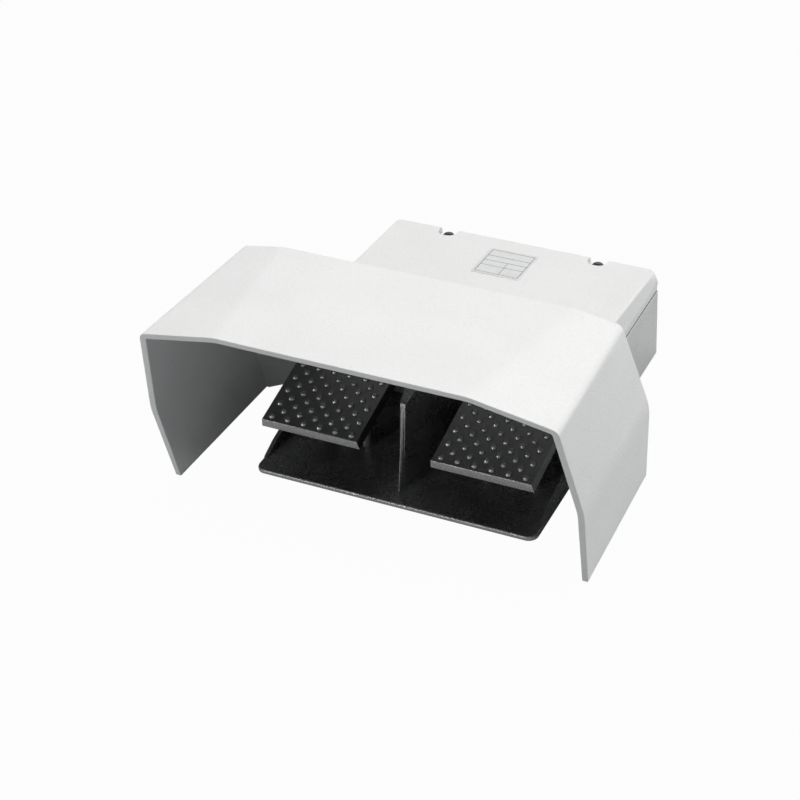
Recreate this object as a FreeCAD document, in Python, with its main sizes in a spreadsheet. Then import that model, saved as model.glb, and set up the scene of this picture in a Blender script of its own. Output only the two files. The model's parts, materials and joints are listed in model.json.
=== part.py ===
"""Two-pedal industrial foot switch with a wide guard hood.

The frame is in millimetres: X to the right, Y to the rear and Z up. The origin is on the floor,
under the middle of the whole object. Both pedals are at rest, with their front ends up.
"""
import FreeCAD, Part
import math
import os
import Sketcher

Vector = FreeCAD.Vector
doc = FreeCAD.newDocument("foot_switch")
pieces = []


# Base and switch box
base_width = 210  # width of the base and of the switch box
base_depth = 240  # base front edge to box rear face
pad_stand = 1.5  # height of the castings above the floor
plate_thickness = 3  # floor plate of the base
plate_corner = 7  # front corner radius of the base
flange_thickness = 3  # rising side flanges of the base
flange_start = 14  # base front edge to the foot of the flange
flange_knee = 27  # base front edge to the bend in the flange
flange_knee_height = 8  # flange height at its bend, from the underside
flange_bend = 10  # rounding of the flange's bend
wall_setback = 12.3  # base front edge to the nose of the centre wall
wall_width = 13  # width of the centre wall
wall_height = 65.5  # centre wall at its nose, from the underside
wall_nose_radius = 12  # rounding of the nose seen from the side
wall_low_height = 57  # centre wall beside the pivots, from the underside
wall_web = 3.2  # wall left each side of the hollow in the centre wall
housing_depth = 122  # switch box, front to rear
housing_height = 54  # underside to the parting line
housing_wall = 4.5  # side and rear walls of the box
housing_front_wall = 5  # front wall of the box
housing_floor = 4  # floor of the box
housing_corner = 5  # upright corner radius of the box
inner_corner = 3  # corner radius inside the box and its cover
cheek_thickness = 3.2  # cheeks that carry the pivot shaft
cheek_boss_height = 12  # bosses at the foot of the cheeks
cheek_screw_inset = 6.5  # outer face of the box to the base screws
cheek_screw_end = 9  # ends of the cheeks to the base screws
boss_wall = 2.5  # wall of the screw bosses
seal_thickness = 1  # gasket between box and cover
seal_width = 3  # width of the gasket's band
seal_inset = 0.9  # gasket set back from the outer face

# Cover
cover_overhang = 43  # cover ahead of the box front wall
cover_rise = 15.9  # cover height above its foot at the rear
cover_slope = 4.75  # angle at which the cover rises to the front
cover_wall = 4  # wall of the cover
cover_lip_height = 6.5  # lower band of the cover
cover_lip_undercut = 0.6  # draw-in of the band at its foot
cover_draft = 2.2  # draw-in of the cover's sides at the top
cover_edge = 1.2  # rounding of the cover's top edge
cover_corner = 5  # upright corner radius of the cover
porch_height = 13  # straight lower part of the cover over the pedals
skirt_gap = 4.1  # cover's front skirt above the pedals
notch_radius = 7.25  # screw pocket in the cover
notch_depth = 5.6  # depth of the screw pockets
cover_screw_spread = 119  # between the rear cover screws
front_screw_gap = 2.75  # columns of the front cover screws to the switch blocks
cover_screw_rear = 6.5  # box rear face to the rear cover screws
cover_screw_front = 14  # box front face to the front cover screws
cover_screw_length = 24  # shank of the cover screws
column_radius = 6  # columns round the cover screws
plate_width = 38  # blank type plate, across
plate_depth = 39  # blank type plate, front to rear
plate_rear = 19  # cover rear edge to the type plate
plate_gauge = 0.4  # thickness of the type plate
plate_round = 1.5  # corner radius of the type plate

# Guard hood: its widest point is at the bend in the side walls
hood_width = 312  # hood, across
hood_height = 155.7  # top of the hood's front edge above the floor
hood_reach = 59.1  # hood's top edge ahead of the base front edge
hood_front_lean = 12.1  # forward lean of the hood's front edge
hood_rear_lean = 10  # forward lean of the hood's rear wall
hood_foot_rear = 96.7  # base front edge to the foot of the hood's rear wall
hood_wall = 4.8  # wall of the hood
tip_inset = 3.1  # front tips inside the widest point
tip_height = 4  # front tips above the floor
bend_height = 70.5  # bend above the floor, front
corner_inset = 10.7  # top corner inside the widest point, front
corner_drop = 12.3  # top corner below the top, front
crease_inset = 67.9  # edge of the flat top panel inside the widest point, front
foot_inset = 7.6  # rear foot inside the widest point
foot_height = 1.9  # rear foot above the floor
rear_bend_inset = 1.9  # bend inside the widest point, rear
rear_bend_height = 69.6  # bend above the floor, rear
rear_corner_inset = 17.4  # top corner inside the widest point, rear
rear_corner_drop = 18  # top corner below the top, rear
rear_crease_inset = 48.9  # edge of the flat top panel inside the widest point, rear
rear_crease_drop = 11.8  # flat top panel below the top, rear
bend_radius = 60  # rounding of the bend in the side walls
corner_radius = 7  # rounding of the top corners
crease_radius = 40  # rounding of the creases in the top
hood_edge = 1.6  # rounding of the hood's rear edge
hood_gap = 0.3  # hood's cut-out to the box
wing_height = 21.5  # rear wall's lower edge beside the box, from the floor
wing_gap = 1.6  # end of that edge inside the hood's side wall
lug_thickness = 4  # hood's fixing lugs
lug_drop = 2.5  # top of the lugs below the parting line
lug_height = 31  # height of the lugs
lug_length = 16  # lugs behind the box front face
lug_corner = 5  # corner radius of the lugs
hood_screw_pitch = 16  # between the two screws of a lug
hood_screw_length = 13  # shank of the hood screws

# Pedals and pivots
pedal_width = 75.1  # pedal, across
pedal_gap = 0.5  # pedal to the cheek beside it
pedal_setback = 8  # base front edge to the pedal's front edge
pedal_front_height = 40.9  # pedal's top front edge, from the underside
pedal_slope = 13  # rise of the pedal to the rear at rest
pedal_deck = 4  # deck of the pedal
pedal_lip = 7.5  # height of the front lip
pedal_rim = 3  # rim of the pedal
pedal_tail = 5  # deck behind the pivot line
pedal_rib = 4  # ribs under the deck
pedal_travel = 12  # angle of the pedal's travel
pivot_setback = 12  # box front face to the pivot line
pivot_drop = 9.5  # pivot line below the parting line
shaft_radius = 4  # pivot shaft
shaft_inset = 0.3  # ends of the shaft inside the outer faces
shaft_chamfer = 0.6  # chamfer at the ends of the shaft
shaft_play = 0.05  # radial clearance of the shaft
bush_wall = 1.45  # wall of the pivot bushes
hub_radius = 8  # hubs of the pedals
hub_length = 12  # length of a hub
hub_inset = 1.5  # pedal's side to its outer hub
stud_pitch_across = 12.2  # studs, across the pedal
stud_pitch_along = 12.5  # studs, along the pedal
stud_first = 4.9  # front edge to the first row of studs
stud_radius = 2.6  # foot radius of a stud
stud_height = 1.5  # height of a stud
stud_taper = 35  # slope of a stud's sides from upright
stud_margin = 2  # bare strip beside the studs
arm_setback = 8  # rear face of the arm ahead of the pivot line
arm_thickness = 8  # pedal arm, front to rear
arm_width = 12  # pedal arm, across
arm_foot = 13  # arm below the adjusting screw
set_screw_radius = 3  # adjusting screw
set_screw_tip = 4  # ball radius of the adjusting screw's end
adjuster_length = 27  # adjusting screw ahead of its ball
ball_setback = 0.5  # centre of the screw's ball ahead of the pivot line
nut_flats = 10  # lock nut, across flats
nut_height = 4  # height of the lock nut
seat_setback = 44  # pedal springs ahead of the pivot line
seat_radius = 8  # spring seats
cup_wall = 2  # wall of the spring cups
cup_height = 4  # height of the spring cups
cup_play = 0.7  # clearance round a spring in its cup
spring_wire = 2.2  # wire of the pedal springs
spring_turns = 5  # turns of a pedal spring
stop_gap = 0.35  # rubber stops to the pedal at its limits
stop_thickness = 5  # rubber rest stops
stop_width = 14  # rest stops and their posts, across
stop_height = 11  # rest stops above the floor plate
post_depth = 6  # posts behind the rest stops, front to rear
buffer_setback = 50  # end buffers ahead of the pivot line
buffer_spread = 36  # between the two end buffers of a pedal
buffer_radius = 6  # rubber end buffers
buffer_height = 9  # height of the rubber end buffers
buffer_edge = 1  # chamfer of the rubber end buffers
clip_thickness = 1  # retaining rings of the shaft
clip_radius = 6.5  # outer radius of the retaining rings
clip_groove = 0.5  # depth of the rings' grooves
clip_gap = 0.2  # centre wall to the retaining rings

# Switches
plunger_radius = 3  # plunger stem
plunger_head_radius = 5.5  # plunger head
plunger_head = 2.5  # thickness of the plunger head
plunger_gap = 0.12  # adjusting screw to the plunger at rest
plunger_height = 22.5  # plunger line, from the underside
plunger_chamfer = 0.6  # chamfer of the plunger head
guide_radius = 6  # outer radius of the guide bush
guide_flange = 2  # flange of the guide bush, wide and thick
ring_section = 0.75  # half thickness of the plunger's sealing ring
ring_play = 0.06  # sealing ring to the plunger
groove_length = 1.7  # groove for the sealing ring
block_setback = 10  # box front face to the switch block
block_length = 50  # switch block, front to rear
block_width = 30  # switch block, across
block_height = 31  # switch block, without its lid
block_wall = 4  # end walls and floor of the block
block_side = 5  # side walls of the block
block_pad = 3  # raised pad under the block
ear_length = 9  # fixing ears of the switch blocks, across
ear_depth = 10  # fixing ears, front to rear
ear_thickness = 4  # fixing ears
lid_thickness = 2.4  # lid of the switch block
carrier_width = 8  # contact carrier, across
carrier_length = 31  # contact carrier, front to rear
carrier_height = 12  # height of the contact carrier
carrier_gap = 2  # contact carrier to the block's front wall at rest
bridge_setback = 8  # ends of the carrier to its contact bridges
bridge_thickness = 1.2  # contact strips and bridges
bridge_height = 7  # height of the contact bridges
contact_gap = 0.05  # bridges clear of the fixed contacts
strip_width = 4.3  # fixed contact strips inside the block
coil_radius = 3  # mean radius of the contact springs
coil_wire = 1  # wire of the contact springs
coil_turns = 4  # turns of a contact spring
entry_radius = 11.7  # cable entry, wall of the threaded bore
entry_boss = 16.5  # radius of the boss inside the cable entry
entry_length = 16  # length of the cable entry's bore
entry_height = 27  # cable entry, from the underside
earth_setback = 34  # box rear face to the earth terminal
earth_boss = 8  # height of the earth terminal's boss

# Fasteners and feet
screw_radius = 2.5  # shank of the M5 screws
screw_head_radius = 4.7  # head of the M5 screws
screw_head_height = 3  # height of a screw head
small_screw_radius = 2  # shank of the M4 screws
small_head_radius = 3.6  # head of the M4 screws
small_head_height = 2.4  # height of a small head
terminal_screw_radius = 1.25  # shank of the terminal screws
terminal_screw_length = 5  # length of the terminal screws' shanks
terminal_head_radius = 2.1  # head of the terminal screws
terminal_head_height = 1.6  # height of a terminal screw's head
terminal_inset = 2.4  # block's side to the terminal screws
hole_play = 0.3  # clearance round a screw in its hole
thread_play = 0.05  # clearance round a screw in its thread
pad_radius = 10  # rubber feet
pad_sink = 1.5  # depth of the feet in the castings
pad_inset = 14  # feet from the outer faces
pad_edge = 0.8  # chamfer of the rubber feet


class Size:
    """A length or an angle: what it measures now, and the sheet expression that gives it."""

    def __init__(self, value, text):
        self.value = value
        self.text = text

    def join(self, other, sign, value):
        return Size(value, f"({self.text} {sign} {other.text})")

    def __add__(self, other):
        other = size(other)
        return self.join(other, "+", self.value + other.value)

    def __sub__(self, other):
        other = size(other)
        return self.join(other, "-", self.value - other.value)

    def __mul__(self, other):
        other = size(other)
        return self.join(other, "*", self.value * other.value)

    def __truediv__(self, other):
        other = size(other)
        return self.join(other, "/", self.value / other.value)

    def __radd__(self, other):
        return size(other) + self

    def __rsub__(self, other):
        return size(other) - self

    def __rmul__(self, other):
        return size(other) * self

    def __neg__(self):
        return Size(-self.value, f"(-1 * {self.text})")


def size(amount):
    return amount if isinstance(amount, Size) else Size(float(amount), repr(float(amount)))


def sine(angle):
    return Size(math.sin(math.radians(angle.value)), f"sin({angle.text})")


def cosine(angle):
    return Size(math.cos(math.radians(angle.value)), f"cos({angle.text})")


def tangent(angle):
    return Size(math.tan(math.radians(angle.value)), f"tan({angle.text})")


# Each size above gets a row of the sheet, and from here on its name stands for that row's cell
sheet = doc.addObject("Spreadsheet::Sheet", "sizes")
driving = [name for name, amount in list(globals().items()) if isinstance(amount, (int, float))]
for row, name in enumerate(driving, 1):
    amount = globals()[name]
    sheet.set(f"A{row}", name.replace("_", " "))
    sheet.set(f"B{row}", str(amount))
    sheet.setAlias(f"B{row}", name)
    globals()[name] = Size(float(amount), "sizes." + name)

# Planes and lines that several pieces share
half = base_width / 2
rear = (hood_reach + base_depth) / 2
front = rear - base_depth
box_front = rear - housing_depth
cover_front = box_front - cover_overhang
under = pad_stand
hood_half = hood_width / 2
plate_top = under + plate_thickness
floor_top = under + housing_floor
parting = under + housing_height
cover_foot = parting + seal_thickness
cover_top = cover_foot + cover_rise
pivot_y = box_front - pivot_setback
pivot_z = parting - pivot_drop
pedal_x = half - cheek_thickness - pedal_gap - pedal_width / 2
plunger_z = under + plunger_height
arm_drop = pivot_z - plunger_z
plunger_travel = arm_drop * pedal_travel * (math.pi / 180)
deck_start = ((front + pedal_setback - pivot_y) * cosine(pedal_slope)
              + (under + pedal_front_height - pivot_z) * sine(pedal_slope))
deck_top = ((under + pedal_front_height - pivot_z) * cosine(pedal_slope)
            - (front + pedal_setback - pivot_y) * sine(pedal_slope))
block_front = box_front + block_setback
block_floor = floor_top + block_pad


def cover_top_at(y):
    """Height of the cover's sloping top at a place along Y."""
    return cover_top + (rear - y) * tangent(cover_slope)


def hood_rear_at(z):
    """Outer face of the hood's rear wall at a height."""
    return front + hood_foot_rear - (z - foot_height) * tangent(hood_rear_lean)


def hood_front_at(z):
    """Front edge of the hood at a height."""
    return front - hood_reach + (hood_height - z) * tangent(hood_front_lean)


def deck_top_at(y):
    """Height of a pedal's deck at rest, at a place along Y."""
    return pivot_z + (y - pivot_y) * tangent(pedal_slope) + deck_top / cosine(pedal_slope)


def bind(owner, path, amount):
    owner.setExpression(path, size(amount).text)


NORMALS = {"XY": 1, "XZ": -1, "YZ": 1}


def new_body(label):
    made = doc.addObject("PartDesign::Body", label)
    made.Label = label
    return made


def sketch(body, name, plane, offset=0, tilt=None):
    """A sketch on one of the body's origin planes, moved along the plane's global axis."""
    made = body.newObject("Sketcher::SketchObject", f"{body.Name}_{name}")
    support = next(item for item in body.Origin.OriginFeatures if item.Role == plane + "_Plane")
    made.AttachmentSupport = [(support, "")]
    made.MapMode = "FlatFace"
    shift = size(offset) * NORMALS[plane]
    turn = FreeCAD.Rotation(Vector(1, 0, 0), tilt.value if tilt else 0)
    made.AttachmentOffset = FreeCAD.Placement(Vector(0, 0, shift.value), turn)
    bind(made, "AttachmentOffset.Base.z", shift)
    if tilt:
        bind(made, "AttachmentOffset.Rotation.Angle", tilt)
    return made


def hold(made, item, end, x, y):
    """Ties one point of a sketch to its two coordinates."""
    for kind, axis, amount in (("DistanceX", -2, size(x)), ("DistanceY", -1, size(y))):
        if amount.text == "0.0":
            made.addConstraint(Sketcher.Constraint("PointOnObject", item, end, axis))
            continue
        index = made.addConstraint(Sketcher.Constraint(kind, -1, 1, item, end, amount.value))
        bind(made, f"Constraints[{index}]", amount)


def outline(made, corners):
    """A closed outline of straight sides; a corner's third value is its radius."""
    corners = [(size(c[0]), size(c[1]), size(c[2]) if len(c) > 2 else None) for c in corners]
    points = [Vector(x.value, y.value, 0) for x, y, radius in corners]
    count = len(corners)
    enter, leave, spans = [], [], []
    for i in range(count):
        back = (points[i - 1] - points[i]).normalize()
        ahead = (points[(i + 1) % count] - points[i]).normalize()
        half_angle = math.acos(max(-1, min(1, back.dot(ahead)))) / 2
        radius = corners[i][2].value if corners[i][2] else 0
        cut = radius / math.tan(half_angle)
        enter.append(points[i] + back * cut)
        leave.append(points[i] + ahead * cut)
        spans.append((back, ahead, half_angle, radius))
    sides = [made.addGeometry(Part.LineSegment(leave[i], enter[(i + 1) % count])) for i in range(count)]
    for i, (x, y, radius) in enumerate(corners):
        if radius is None:
            made.addConstraint(Sketcher.Constraint("Coincident", sides[i - 1], 2, sides[i], 1))
            hold(made, sides[i], 1, x, y)
            continue
        back, ahead, half_angle, amount = spans[i]
        centre = points[i] + (back + ahead).normalize() * (amount / math.sin(half_angle))
        left_turn = ahead.cross(back).z > 0
        first, last = (enter[i], leave[i]) if left_turn else (leave[i], enter[i])
        angles = [math.atan2((p - centre).y, (p - centre).x) for p in (first, last)]
        arc = made.addGeometry(Part.ArcOfCircle(Part.Circle(centre, Vector(0, 0, 1), amount), *angles))
        corner = made.addGeometry(Part.Point(points[i]), True)
        ends = (1, 2) if left_turn else (2, 1)
        made.addConstraint(Sketcher.Constraint("Tangent", sides[i - 1], 2, arc, ends[0]))
        made.addConstraint(Sketcher.Constraint("Tangent", sides[i], 1, arc, ends[1]))
        made.addConstraint(Sketcher.Constraint("PointOnObject", corner, 1, sides[i - 1]))
        made.addConstraint(Sketcher.Constraint("PointOnObject", corner, 1, sides[i]))
        index = made.addConstraint(Sketcher.Constraint("Radius", arc, amount))
        bind(made, f"Constraints[{index}]", radius)
        hold(made, corner, 1, x, y)
    return made


def rectangle(made, left, low, right, high, radius=None):
    tail = () if radius is None else (radius,)
    corners = ((left, low), (right, low), (right, high), (left, high))
    return outline(made, [corner + tail for corner in corners])


def circle(made, x, y, radius):
    radius = size(radius)
    centre = Vector(size(x).value, size(y).value, 0)
    item = made.addGeometry(Part.Circle(centre, Vector(0, 0, 1), radius.value))
    index = made.addConstraint(Sketcher.Constraint("Radius", item, radius.value))
    bind(made, f"Constraints[{index}]", radius)
    hold(made, item, 3, x, y)
    return made


def polygon(made, x, y, reach, sides):
    """A regular polygon with its first corner below its middle."""
    corners = []
    for k in range(sides):
        angle = size(270 + 360 / sides * k)
        corners.append((x + reach * cosine(angle), y + reach * sine(angle)))
    return outline(made, corners)


def hexagon(made, flats):
    """A hexagon round the sketch's origin, from its size across flats."""
    return polygon(made, size(0), size(0), flats / 2 / cosine(size(30)), 6)


def pad(body, name, plane, offset, draw, length, along=1):
    profile = sketch(body, name, plane, offset)
    draw(profile)
    return feature(body, "Pad", profile, plane, length, along)


def pocket(body, name, plane, offset, draw, length, along=1):
    profile = sketch(body, name, plane, offset)
    draw(profile)
    return feature(body, "Pocket", profile, plane, length, along)


def feature(body, kind, profile, plane, length, along):
    """A pad or pocket along the plane's global axis: forwards 1, backwards -1, both ways 0."""
    made = body.newObject("PartDesign::" + kind, profile.Name + "_" + kind.lower())
    made.Profile = profile
    bind(made, "Length", length)
    if along == 0:
        made.SideType = "Symmetric"
    else:
        outward = along == NORMALS[plane]
        made.Reversed = outward if kind == "Pocket" else not outward
    return made


def turned(body, name, corners):
    """A piece turned about the body's Z axis, from an outline of radius and height."""
    profile = sketch(body, name, "XZ")
    outline(profile, corners)
    made = body.newObject("PartDesign::Revolution", profile.Name + "_turned")
    made.Profile = profile
    made.ReferenceAxis = (profile, ["V_Axis"])
    return made


def place(body, x, y, z, axis=Vector(0, 0, 1), angle=None):
    """Sets a body's place and, where given, its turn about an axis."""
    turn = FreeCAD.Rotation(axis, size(angle).value) if angle is not None else FreeCAD.Rotation()
    body.Placement = FreeCAD.Placement(Vector(size(x).value, size(y).value, size(z).value), turn)
    for path, amount in (("x", x), ("y", y), ("z", z)):
        bind(body, "Placement.Base." + path, amount)
    if isinstance(angle, Size):
        bind(body, "Placement.Rotation.Angle", angle)


def mirrored(source, label, normal=Vector(1, 0, 0), at=None):
    """The same piece on the other side of the middle plane, or of a plane at a place along Y."""
    made = doc.addObject("Part::Mirroring", label)
    made.Label = label
    made.Source = source
    made.Normal = normal
    if at is not None:
        bind(made, "Base.y", at)
    return made


def group(label, members):
    made = doc.addObject("Part::Compound", label)
    made.Label = label
    made.Links = members
    return made


def keep(*made):
    pieces.extend(made)


def plain_screw(label, shank_radius, length, head_radius, head_height):
    """A small screw along Z with a flat round head, its head's seat at the body's origin."""
    body = new_body(label)
    turned(body, "outline", [(0, head_height), (head_radius, head_height), (head_radius, 0),
                             (shank_radius, 0), (shank_radius, -length), (0, -length)])
    return body


def slotted_screw(label, shank_radius, length, head_radius, head_height):
    """A pan-head screw along Z, its head's seat at the body's origin, with a slot."""
    body = new_body(label)
    turned(body, "outline", [
        (0, head_height), (head_radius * 0.8, head_height), (head_radius, head_height * 0.5),
        (head_radius, 0), (shank_radius, 0), (shank_radius, -length), (0, -length)])
    slot_half, slot_depth = head_radius * 0.14, head_height * 0.45
    pocket(body, "slot", "XY", head_height, lambda s: rectangle(
        s, -head_radius, -slot_half, head_radius, slot_half), slot_depth, -1)
    return body


def edges_where(source, test):
    """The names of a feature's edges whose middle and direction pass a test."""
    doc.recompute()
    names = []
    for number, edge in enumerate(source.Shape.Edges, 1):
        first, last = edge.Vertexes[0].Point, edge.Vertexes[-1].Point
        if test((first + last) / 2, (last - first)):
            names.append(f"Edge{number}")
    return names


def fillet(body, source, radius, test):
    made = body.newObject("PartDesign::Fillet", source.Name + "_fillet")
    made.Base = (source, edges_where(source, test))
    made.Radius = size(radius).value
    bind(made, "Radius", radius)
    return made


def copies(label, source, places, axis=Vector(0, 0, 1), angle=0):
    """Equal pieces at several places, all turned the same way."""
    links = []
    for number, spot in enumerate(places, 1):
        link = doc.addObject("App::Link", f"{label}_{number}")
        link.LinkedObject = source
        place(link, *spot, axis, angle)
        links.append(link)
    return group(label, links)


def left_and_right(label, right):
    """A right-hand piece and its mirror image, as one node of separate solids."""
    return group(label, [right, mirrored(right, label + "_left_side")])


def both_signs(amount):
    return (size(amount), -size(amount))


# Base casting: floor plate, rising side flanges, centre wall, posts and spring cups
screw_seat = cover_top - notch_depth
ridge_end = cover_front - hole_play
nose_y = front + wall_setback
cheek_screw_x = half - cheek_screw_inset
cheek_screw_ys = (cover_front + cheek_screw_end, box_front - cheek_screw_end)
deck_under = deck_top - pedal_deck
arm_front_y = pivot_y - arm_setback - arm_thickness
stop_y = arm_front_y - stop_gap - stop_thickness
pressed_tilt = pedal_slope + pedal_travel
buffer_y = pivot_y - buffer_setback
buffer_reach = (pivot_y - buffer_y + buffer_radius - deck_under * sine(pressed_tilt)) / cosine(pressed_tilt)
buffer_top = (pivot_z - buffer_reach * sine(pressed_tilt) + deck_under * cosine(pressed_tilt)
              - stop_gap)
buffer_xs = [x + shift for x in both_signs(pedal_x) for shift in both_signs(buffer_spread / 2)]
seat_y = pivot_y - seat_setback


def foot_recesses(body, y):
    for x in both_signs(half - pad_inset):
        pocket(body, "foot_recess", "XY", under, lambda s: circle(s, x, y, pad_radius), pad_sink)


def make_base_casting():
    body = new_body("base_casting")
    plate = sketch(body, "plate", "XY", under)
    outline(plate, [(-half, front, plate_corner), (half, front, plate_corner),
                    (half, box_front), (-half, box_front)])
    slab = feature(body, "Pad", plate, "XY", plate_thickness, 1)
    fillet(body, slab, plate_thickness / 2,
           lambda middle, run: middle.z > under.value + 0.01 and middle.y < (front + plate_corner).value)
    knee_y = front + flange_knee
    flange_end = under + flange_knee_height + (ridge_end - knee_y) * tangent(pedal_slope)
    for x in (half - flange_thickness, -half):
        pad(body, "flange", "YZ", x, lambda s: outline(s, [
            (front + flange_start, plate_top - 1), (ridge_end, plate_top - 1), (ridge_end, flange_end),
            (knee_y, under + flange_knee_height, flange_bend), (front + flange_start, plate_top)]),
            flange_thickness)
    ridge_top = under + wall_height
    ridge_high = ridge_top + (ridge_end - nose_y) * tangent(pedal_slope)
    low = under + wall_low_height
    pad(body, "wall", "XY", plate_top - 1, lambda s: outline(s, [
        (-wall_width / 2, nose_y, wall_width / 2 * 0.98), (wall_width / 2, nose_y, wall_width / 2 * 0.98),
        (wall_width / 2, box_front), (-wall_width / 2, box_front)]), ridge_high - plate_top + 2)
    pocket(body, "ridge", "YZ", 0, lambda s: outline(s, [
        (nose_y - 8, ridge_top - 20), (nose_y, ridge_top - 20), (nose_y, ridge_top, wall_nose_radius),
        (ridge_end, ridge_high), (ridge_end, low), (box_front + 5, low), (box_front + 5, ridge_high + 5),
        (nose_y - 8, ridge_high + 5)]), wall_width * 2, 0)
    hollow = wall_width / 2 - wall_web
    pocket(body, "wall_hollow", "XY", under, lambda s: rectangle(
        s, -hollow, nose_y + wall_width / 2, hollow, box_front - wall_web, hollow * 0.9),
        wall_low_height - wall_web)
    pocket(body, "shaft_hole", "YZ", 0, lambda s: circle(s, pivot_y, pivot_z, shaft_radius + shaft_play),
           wall_width * 2, 0)
    for x in both_signs(pedal_x):
        pad(body, "stop_post", "XY", plate_top - 1, lambda s: rectangle(
            s, x - stop_width / 2, stop_y - post_depth, x + stop_width / 2, stop_y), stop_height + 1)
        cup = seat_radius + cup_play
        pad(body, "spring_cup", "XY", plate_top - 1, lambda s: circle(s, x, seat_y, cup + cup_wall),
            cup_height + 1)
        pocket(body, "cup_bore", "XY", plate_top, lambda s: circle(s, x, seat_y, cup), cup_height + 1)
    for x in buffer_xs:
        pad(body, "buffer_post", "XY", plate_top - 1, lambda s: circle(s, x, buffer_y, buffer_radius),
            buffer_top - buffer_height - plate_top + 1)
    foot_recesses(body, front + pad_inset)
    for x in both_signs(cheek_screw_x):
        for y in cheek_screw_ys:
            pocket(body, "screw_hole", "XY", under, lambda s: circle(s, x, y, screw_radius + hole_play),
                   plate_thickness)
            sink = body.newObject("PartDesign::SubtractiveCone", "countersink")
            for path, amount in (
                    ("Radius1", screw_head_radius + hole_play), ("Radius2", screw_radius + hole_play),
                    ("Height", screw_head_radius - screw_radius), ("Placement.Base.x", x),
                    ("Placement.Base.y", y), ("Placement.Base.z", under)):
                bind(sink, path, amount)
    keep(body)
    return body


def make_base_screws():
    screw_body = new_body("base_screw")
    head = screw_head_radius - screw_radius
    turned(screw_body, "outline", [(0, 0), (screw_head_radius, 0), (screw_radius, head),
                                   (screw_radius, cheek_boss_height), (0, cheek_boss_height)])
    pocket(screw_body, "slot", "XY", 0, lambda s: rectangle(
        s, -screw_head_radius, -0.6, screw_head_radius, 0.6), head * 0.5)
    spots = [(x, y, under) for x in both_signs(cheek_screw_x) for y in cheek_screw_ys]
    keep(copies("base_screws", screw_body, spots))


# Switch box: open tray with cheeks for the pivot shaft
switch_x = pedal_x
block_rear = block_front + block_length
block_middle = block_front + block_length / 2
front_screw_x = switch_x - block_width / 2 - front_screw_gap - column_radius
cover_screw_spots = ([(x, rear - cover_screw_rear) for x in both_signs(cover_screw_spread / 2)]
                     + [(x, box_front + cover_screw_front) for x in both_signs(front_screw_x)])
hood_screw_y = box_front + lug_length / 2
lug_high = parting - lug_drop
lug_low = lug_high - lug_height
hood_screw_zs = [(lug_low + lug_high) / 2 + sign * hood_screw_pitch / 2 for sign in (-1, 1)]
entry_z = under + entry_height
earth_y = rear - earth_setback


def make_switch_housing():
    body = new_body("switch_housing")
    boss = screw_radius + boss_wall
    thread = screw_radius + thread_play
    small_thread = small_screw_radius + thread_play
    tray = sketch(body, "tray", "XY", under)
    outline(tray, [(-half, box_front), (half, box_front),
                   (half, rear, housing_corner), (-half, rear, housing_corner)])
    feature(body, "Pad", tray, "XY", housing_height, 1)
    inner = half - housing_wall
    pocket(body, "cavity", "XY", floor_top, lambda s: rectangle(
        s, -inner, box_front + housing_front_wall, inner, rear - housing_wall, inner_corner),
        housing_height)
    for x in (half - cheek_thickness, -half):
        pad(body, "cheek", "XY", plate_top, lambda s: rectangle(
            s, x, cover_front, x + cheek_thickness, box_front + 1), parting - plate_top)
    web = cheek_screw_inset - cheek_thickness / 2
    for x, web_left in ((cheek_screw_x, cheek_screw_x), (-cheek_screw_x, -cheek_screw_x - web)):
        for y in cheek_screw_ys:
            pad(body, "foot_boss", "XY", plate_top, lambda s: circle(s, x, y, boss), cheek_boss_height)
            pad(body, "foot_web", "XY", plate_top, lambda s: rectangle(
                s, web_left, y - screw_radius, web_left + web, y + screw_radius), cheek_boss_height)
            pocket(body, "foot_thread", "XY", plate_top, lambda s: circle(s, x, y, thread),
                   cheek_boss_height)
    pocket(body, "shaft_hole", "YZ", 0, lambda s: circle(s, pivot_y, pivot_z, shaft_radius + shaft_play),
           base_width + 2, 0)
    for x, y in cover_screw_spots:
        pad(body, "column", "XY", floor_top - 1, lambda s: circle(s, x, y, column_radius),
            parting - floor_top + 1)
        pocket(body, "column_thread", "XY", parting, lambda s: circle(s, x, y, thread),
               cover_screw_length, -1)
    for x in both_signs(switch_x):
        reach = block_width / 2
        ears = reach + ear_length
        pad(body, "switch_pad", "XY", floor_top - 1, lambda s: rectangle(
            s, x - reach, block_front + 2, x + reach, block_rear - 2), block_pad + 1)
        pad(body, "ear_pad", "XY", floor_top - 1, lambda s: rectangle(
            s, x - ears, block_middle - ear_depth / 2, x + ears, block_middle + ear_depth / 2), block_pad + 1)
        for shift in both_signs(ears - ear_length / 2):
            pocket(body, "ear_thread", "XY", block_floor, lambda s: circle(
                s, x + shift, block_middle, small_thread), block_pad + housing_floor / 2, -1)
        pocket(body, "guide_hole", "XZ", box_front, lambda s: circle(s, x, plunger_z, guide_radius),
               housing_front_wall)
    for sign in (1, -1):
        for z in hood_screw_zs:
            start = (half - housing_wall) * sign
            pad(body, "hood_boss", "YZ", start, lambda s: circle(s, hood_screw_y, z, boss),
                hood_screw_length - lug_thickness, -sign)
            pocket(body, "hood_thread", "YZ", half * sign, lambda s: circle(s, hood_screw_y, z, thread),
                   hood_screw_length - lug_thickness, -sign)
    pad(body, "entry_boss", "XZ", rear - housing_wall, lambda s: circle(s, 0, entry_z, entry_boss),
        entry_length - housing_wall, -1)
    pocket(body, "entry_thread", "XZ", rear, lambda s: circle(s, 0, entry_z, entry_radius),
           entry_length, -1)
    pad(body, "earth_boss", "XY", floor_top - 1, lambda s: circle(s, switch_x, earth_y, boss),
        earth_boss + 1)
    pocket(body, "earth_thread", "XY", floor_top + earth_boss, lambda s: circle(
        s, switch_x, earth_y, small_thread), earth_boss, -1)
    foot_recesses(body, rear - pad_inset)
    keep(body)
    return body


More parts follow.
